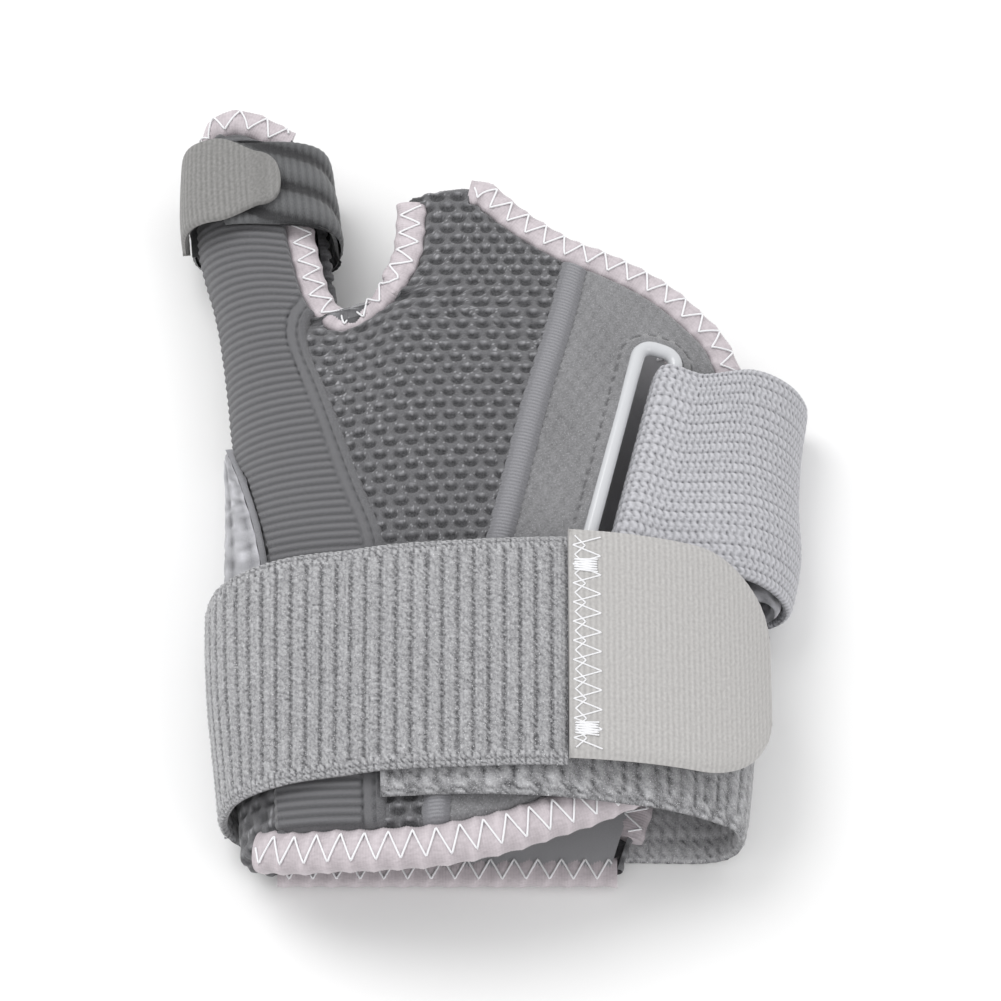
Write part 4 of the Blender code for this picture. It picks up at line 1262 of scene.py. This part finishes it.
half_strap = strap_thickness / 2
strap("ring_strap_knit", "ring_strap", knit, "grey_elastic",
      split_run(smooth_rows(ring_strap(), 0.00042), 300, 5, 44, 110), half_strap, loops, chevrons)
strap("wrist_strap_loop", "wrist_strap", loop_face, "grey_elastic",
      split_run(smooth_rows(wrist_strap(), 0.00045), 200, 2, 60, 110), half_strap, loops,
      chevrons, flip=True)


def tab_place(x, y, lift=0.0):
    """Point of the wrist tab above a place in plan."""
    return Vector((x, y, tab_height(x, (y - outer_near_y) / strap_width) + lift))


def tab_rows(count=201, columns=46):
    """Rows of the wrist tab, whose right end has round corners."""
    rows = []
    reach = tab_length * 0.97
    for i in range(count):
        x = tab_start + reach * i / (count - 1)
        inset = max(0.0, x - (tab_start + reach - tab_corner))
        cut_back = tab_corner - math.sqrt(max(0.0, tab_corner ** 2 - inset ** 2))
        near, far = outer_near_y + cut_back, outer_near_y + strap_width - cut_back
        rows.append([tab_place(x, lerp(near, far, j / (columns - 1))) for j in range(columns)])
    return rows


half_tab = tab_thickness / 2
strap("wrist_strap_tab_hook", "wrist_strap_tab", hook_face, "hook_tape", [(tab_rows(), 46)],
      half_tab, fine_ribs, plain_weave, flip=True)


def tab_stitches(parts, first, second, turns, low_y, high_y, radius, rise, phase=0.0, count=700):
    """Zigzag over the wrist tab between two distances from its left edge."""
    place = np.linspace(0, 1, count)
    wave = np.abs(((place * turns + phase) % 1.0) * 2 - 1)
    thread(parts, [tab_place(x, y, half_tab + rise)
                   for x, y in zip(tab_start + first + (second - first) * wave,
                                   low_y + place * (high_y - low_y))], radius)


# Two columns of zigzag and two bar-tacks join the wrist tab to its strap
seams = Skin()
for first, second, phase in ((0.0008, 0.0062, 0.0), (0.0012, 0.0032, 0.5)):
    tab_stitches(seams, first, second, 11, -0.0645, -0.0210, 0.00017, 0.0001, phase)
for tack_y in (-0.0605, -0.0270):
    tab_stitches(seams, 0.0010, 0.0056, 5, tack_y - 0.0013, tack_y + 0.0013, 0.00018, 0.0002,
                 count=200)
build("wrist_strap_tab_stitch", seams, stitch, "hook_tape")

half_thumb = thumb_strap_thickness / 2
strap("thumb_strap_cloth", "thumb_strap", thumb_knit, "thumb_elastic",
      [(thumb_rows(112, -176, 260, half_thumb), 32)], half_thumb, creased, creased, flip=True)
strap("thumb_strap_tab_hook", "thumb_strap_tab", thumb_hook, "thumb_hook_tape",
      [(thumb_rows(182, 84, 120, thumb_strap_thickness * 1.5 + gap, 0.009), 32)], half_thumb,
      fine_ribs, plain_weave, flip=True)

# Floor, light and camera
bpy.ops.mesh.primitive_plane_add(size=6.0, location=(0, 0, 0))
floor = bpy.context.object
floor.name = "floor"
paint = bpy.data.materials.new("pale_floor")
paint.use_nodes = True
paint.node_tree.nodes["Principled BSDF"].inputs["Base Color"].default_value = (0.93, 0.93, 0.93, 1)
paint.node_tree.nodes["Principled BSDF"].inputs["Roughness"].default_value = 0.9
floor.data.materials.append(paint)

world = bpy.data.worlds.new("studio")
bpy.context.scene.world = world
world.use_nodes = True
world.node_tree.nodes["Background"].inputs["Color"].default_value = (1, 1, 1, 1)
world.node_tree.nodes["Background"].inputs["Strength"].default_value = 0.85
bpy.context.scene.view_settings.view_transform = "Standard"


def area_light(name, place, size, power):
    """Soft round lamp that looks at the origin."""
    light = bpy.data.lights.new(name, "AREA")
    light.shape = "DISK"
    light.size = size
    light.energy = power
    lamp = bpy.data.objects.new(name, light)
    bpy.context.scene.collection.objects.link(lamp)
    lamp.location = place
    lamp.rotation_euler = (-Vector(place)).to_track_quat("-Z", "Y").to_euler()


area_light("key", (-0.7, 0.6, 1.3), 1.1, 11.0)
area_light("fill", (1.1, -0.8, 1.1), 0.9, 4.0)

camera_elevation = math.radians(62)
camera_distance = 0.9
target = Vector((shift.x, shift.y, 0.016))
camera = bpy.data.objects.new("camera", bpy.data.cameras.new("camera"))
bpy.context.scene.collection.objects.link(camera)
camera.location = target + camera_distance * Vector((0, -math.cos(camera_elevation),
                                                     math.sin(camera_elevation)))
camera.rotation_euler = (math.pi / 2 - camera_elevation, 0, 0)
camera.data.lens = 161.8
bpy.context.scene.camera = camera
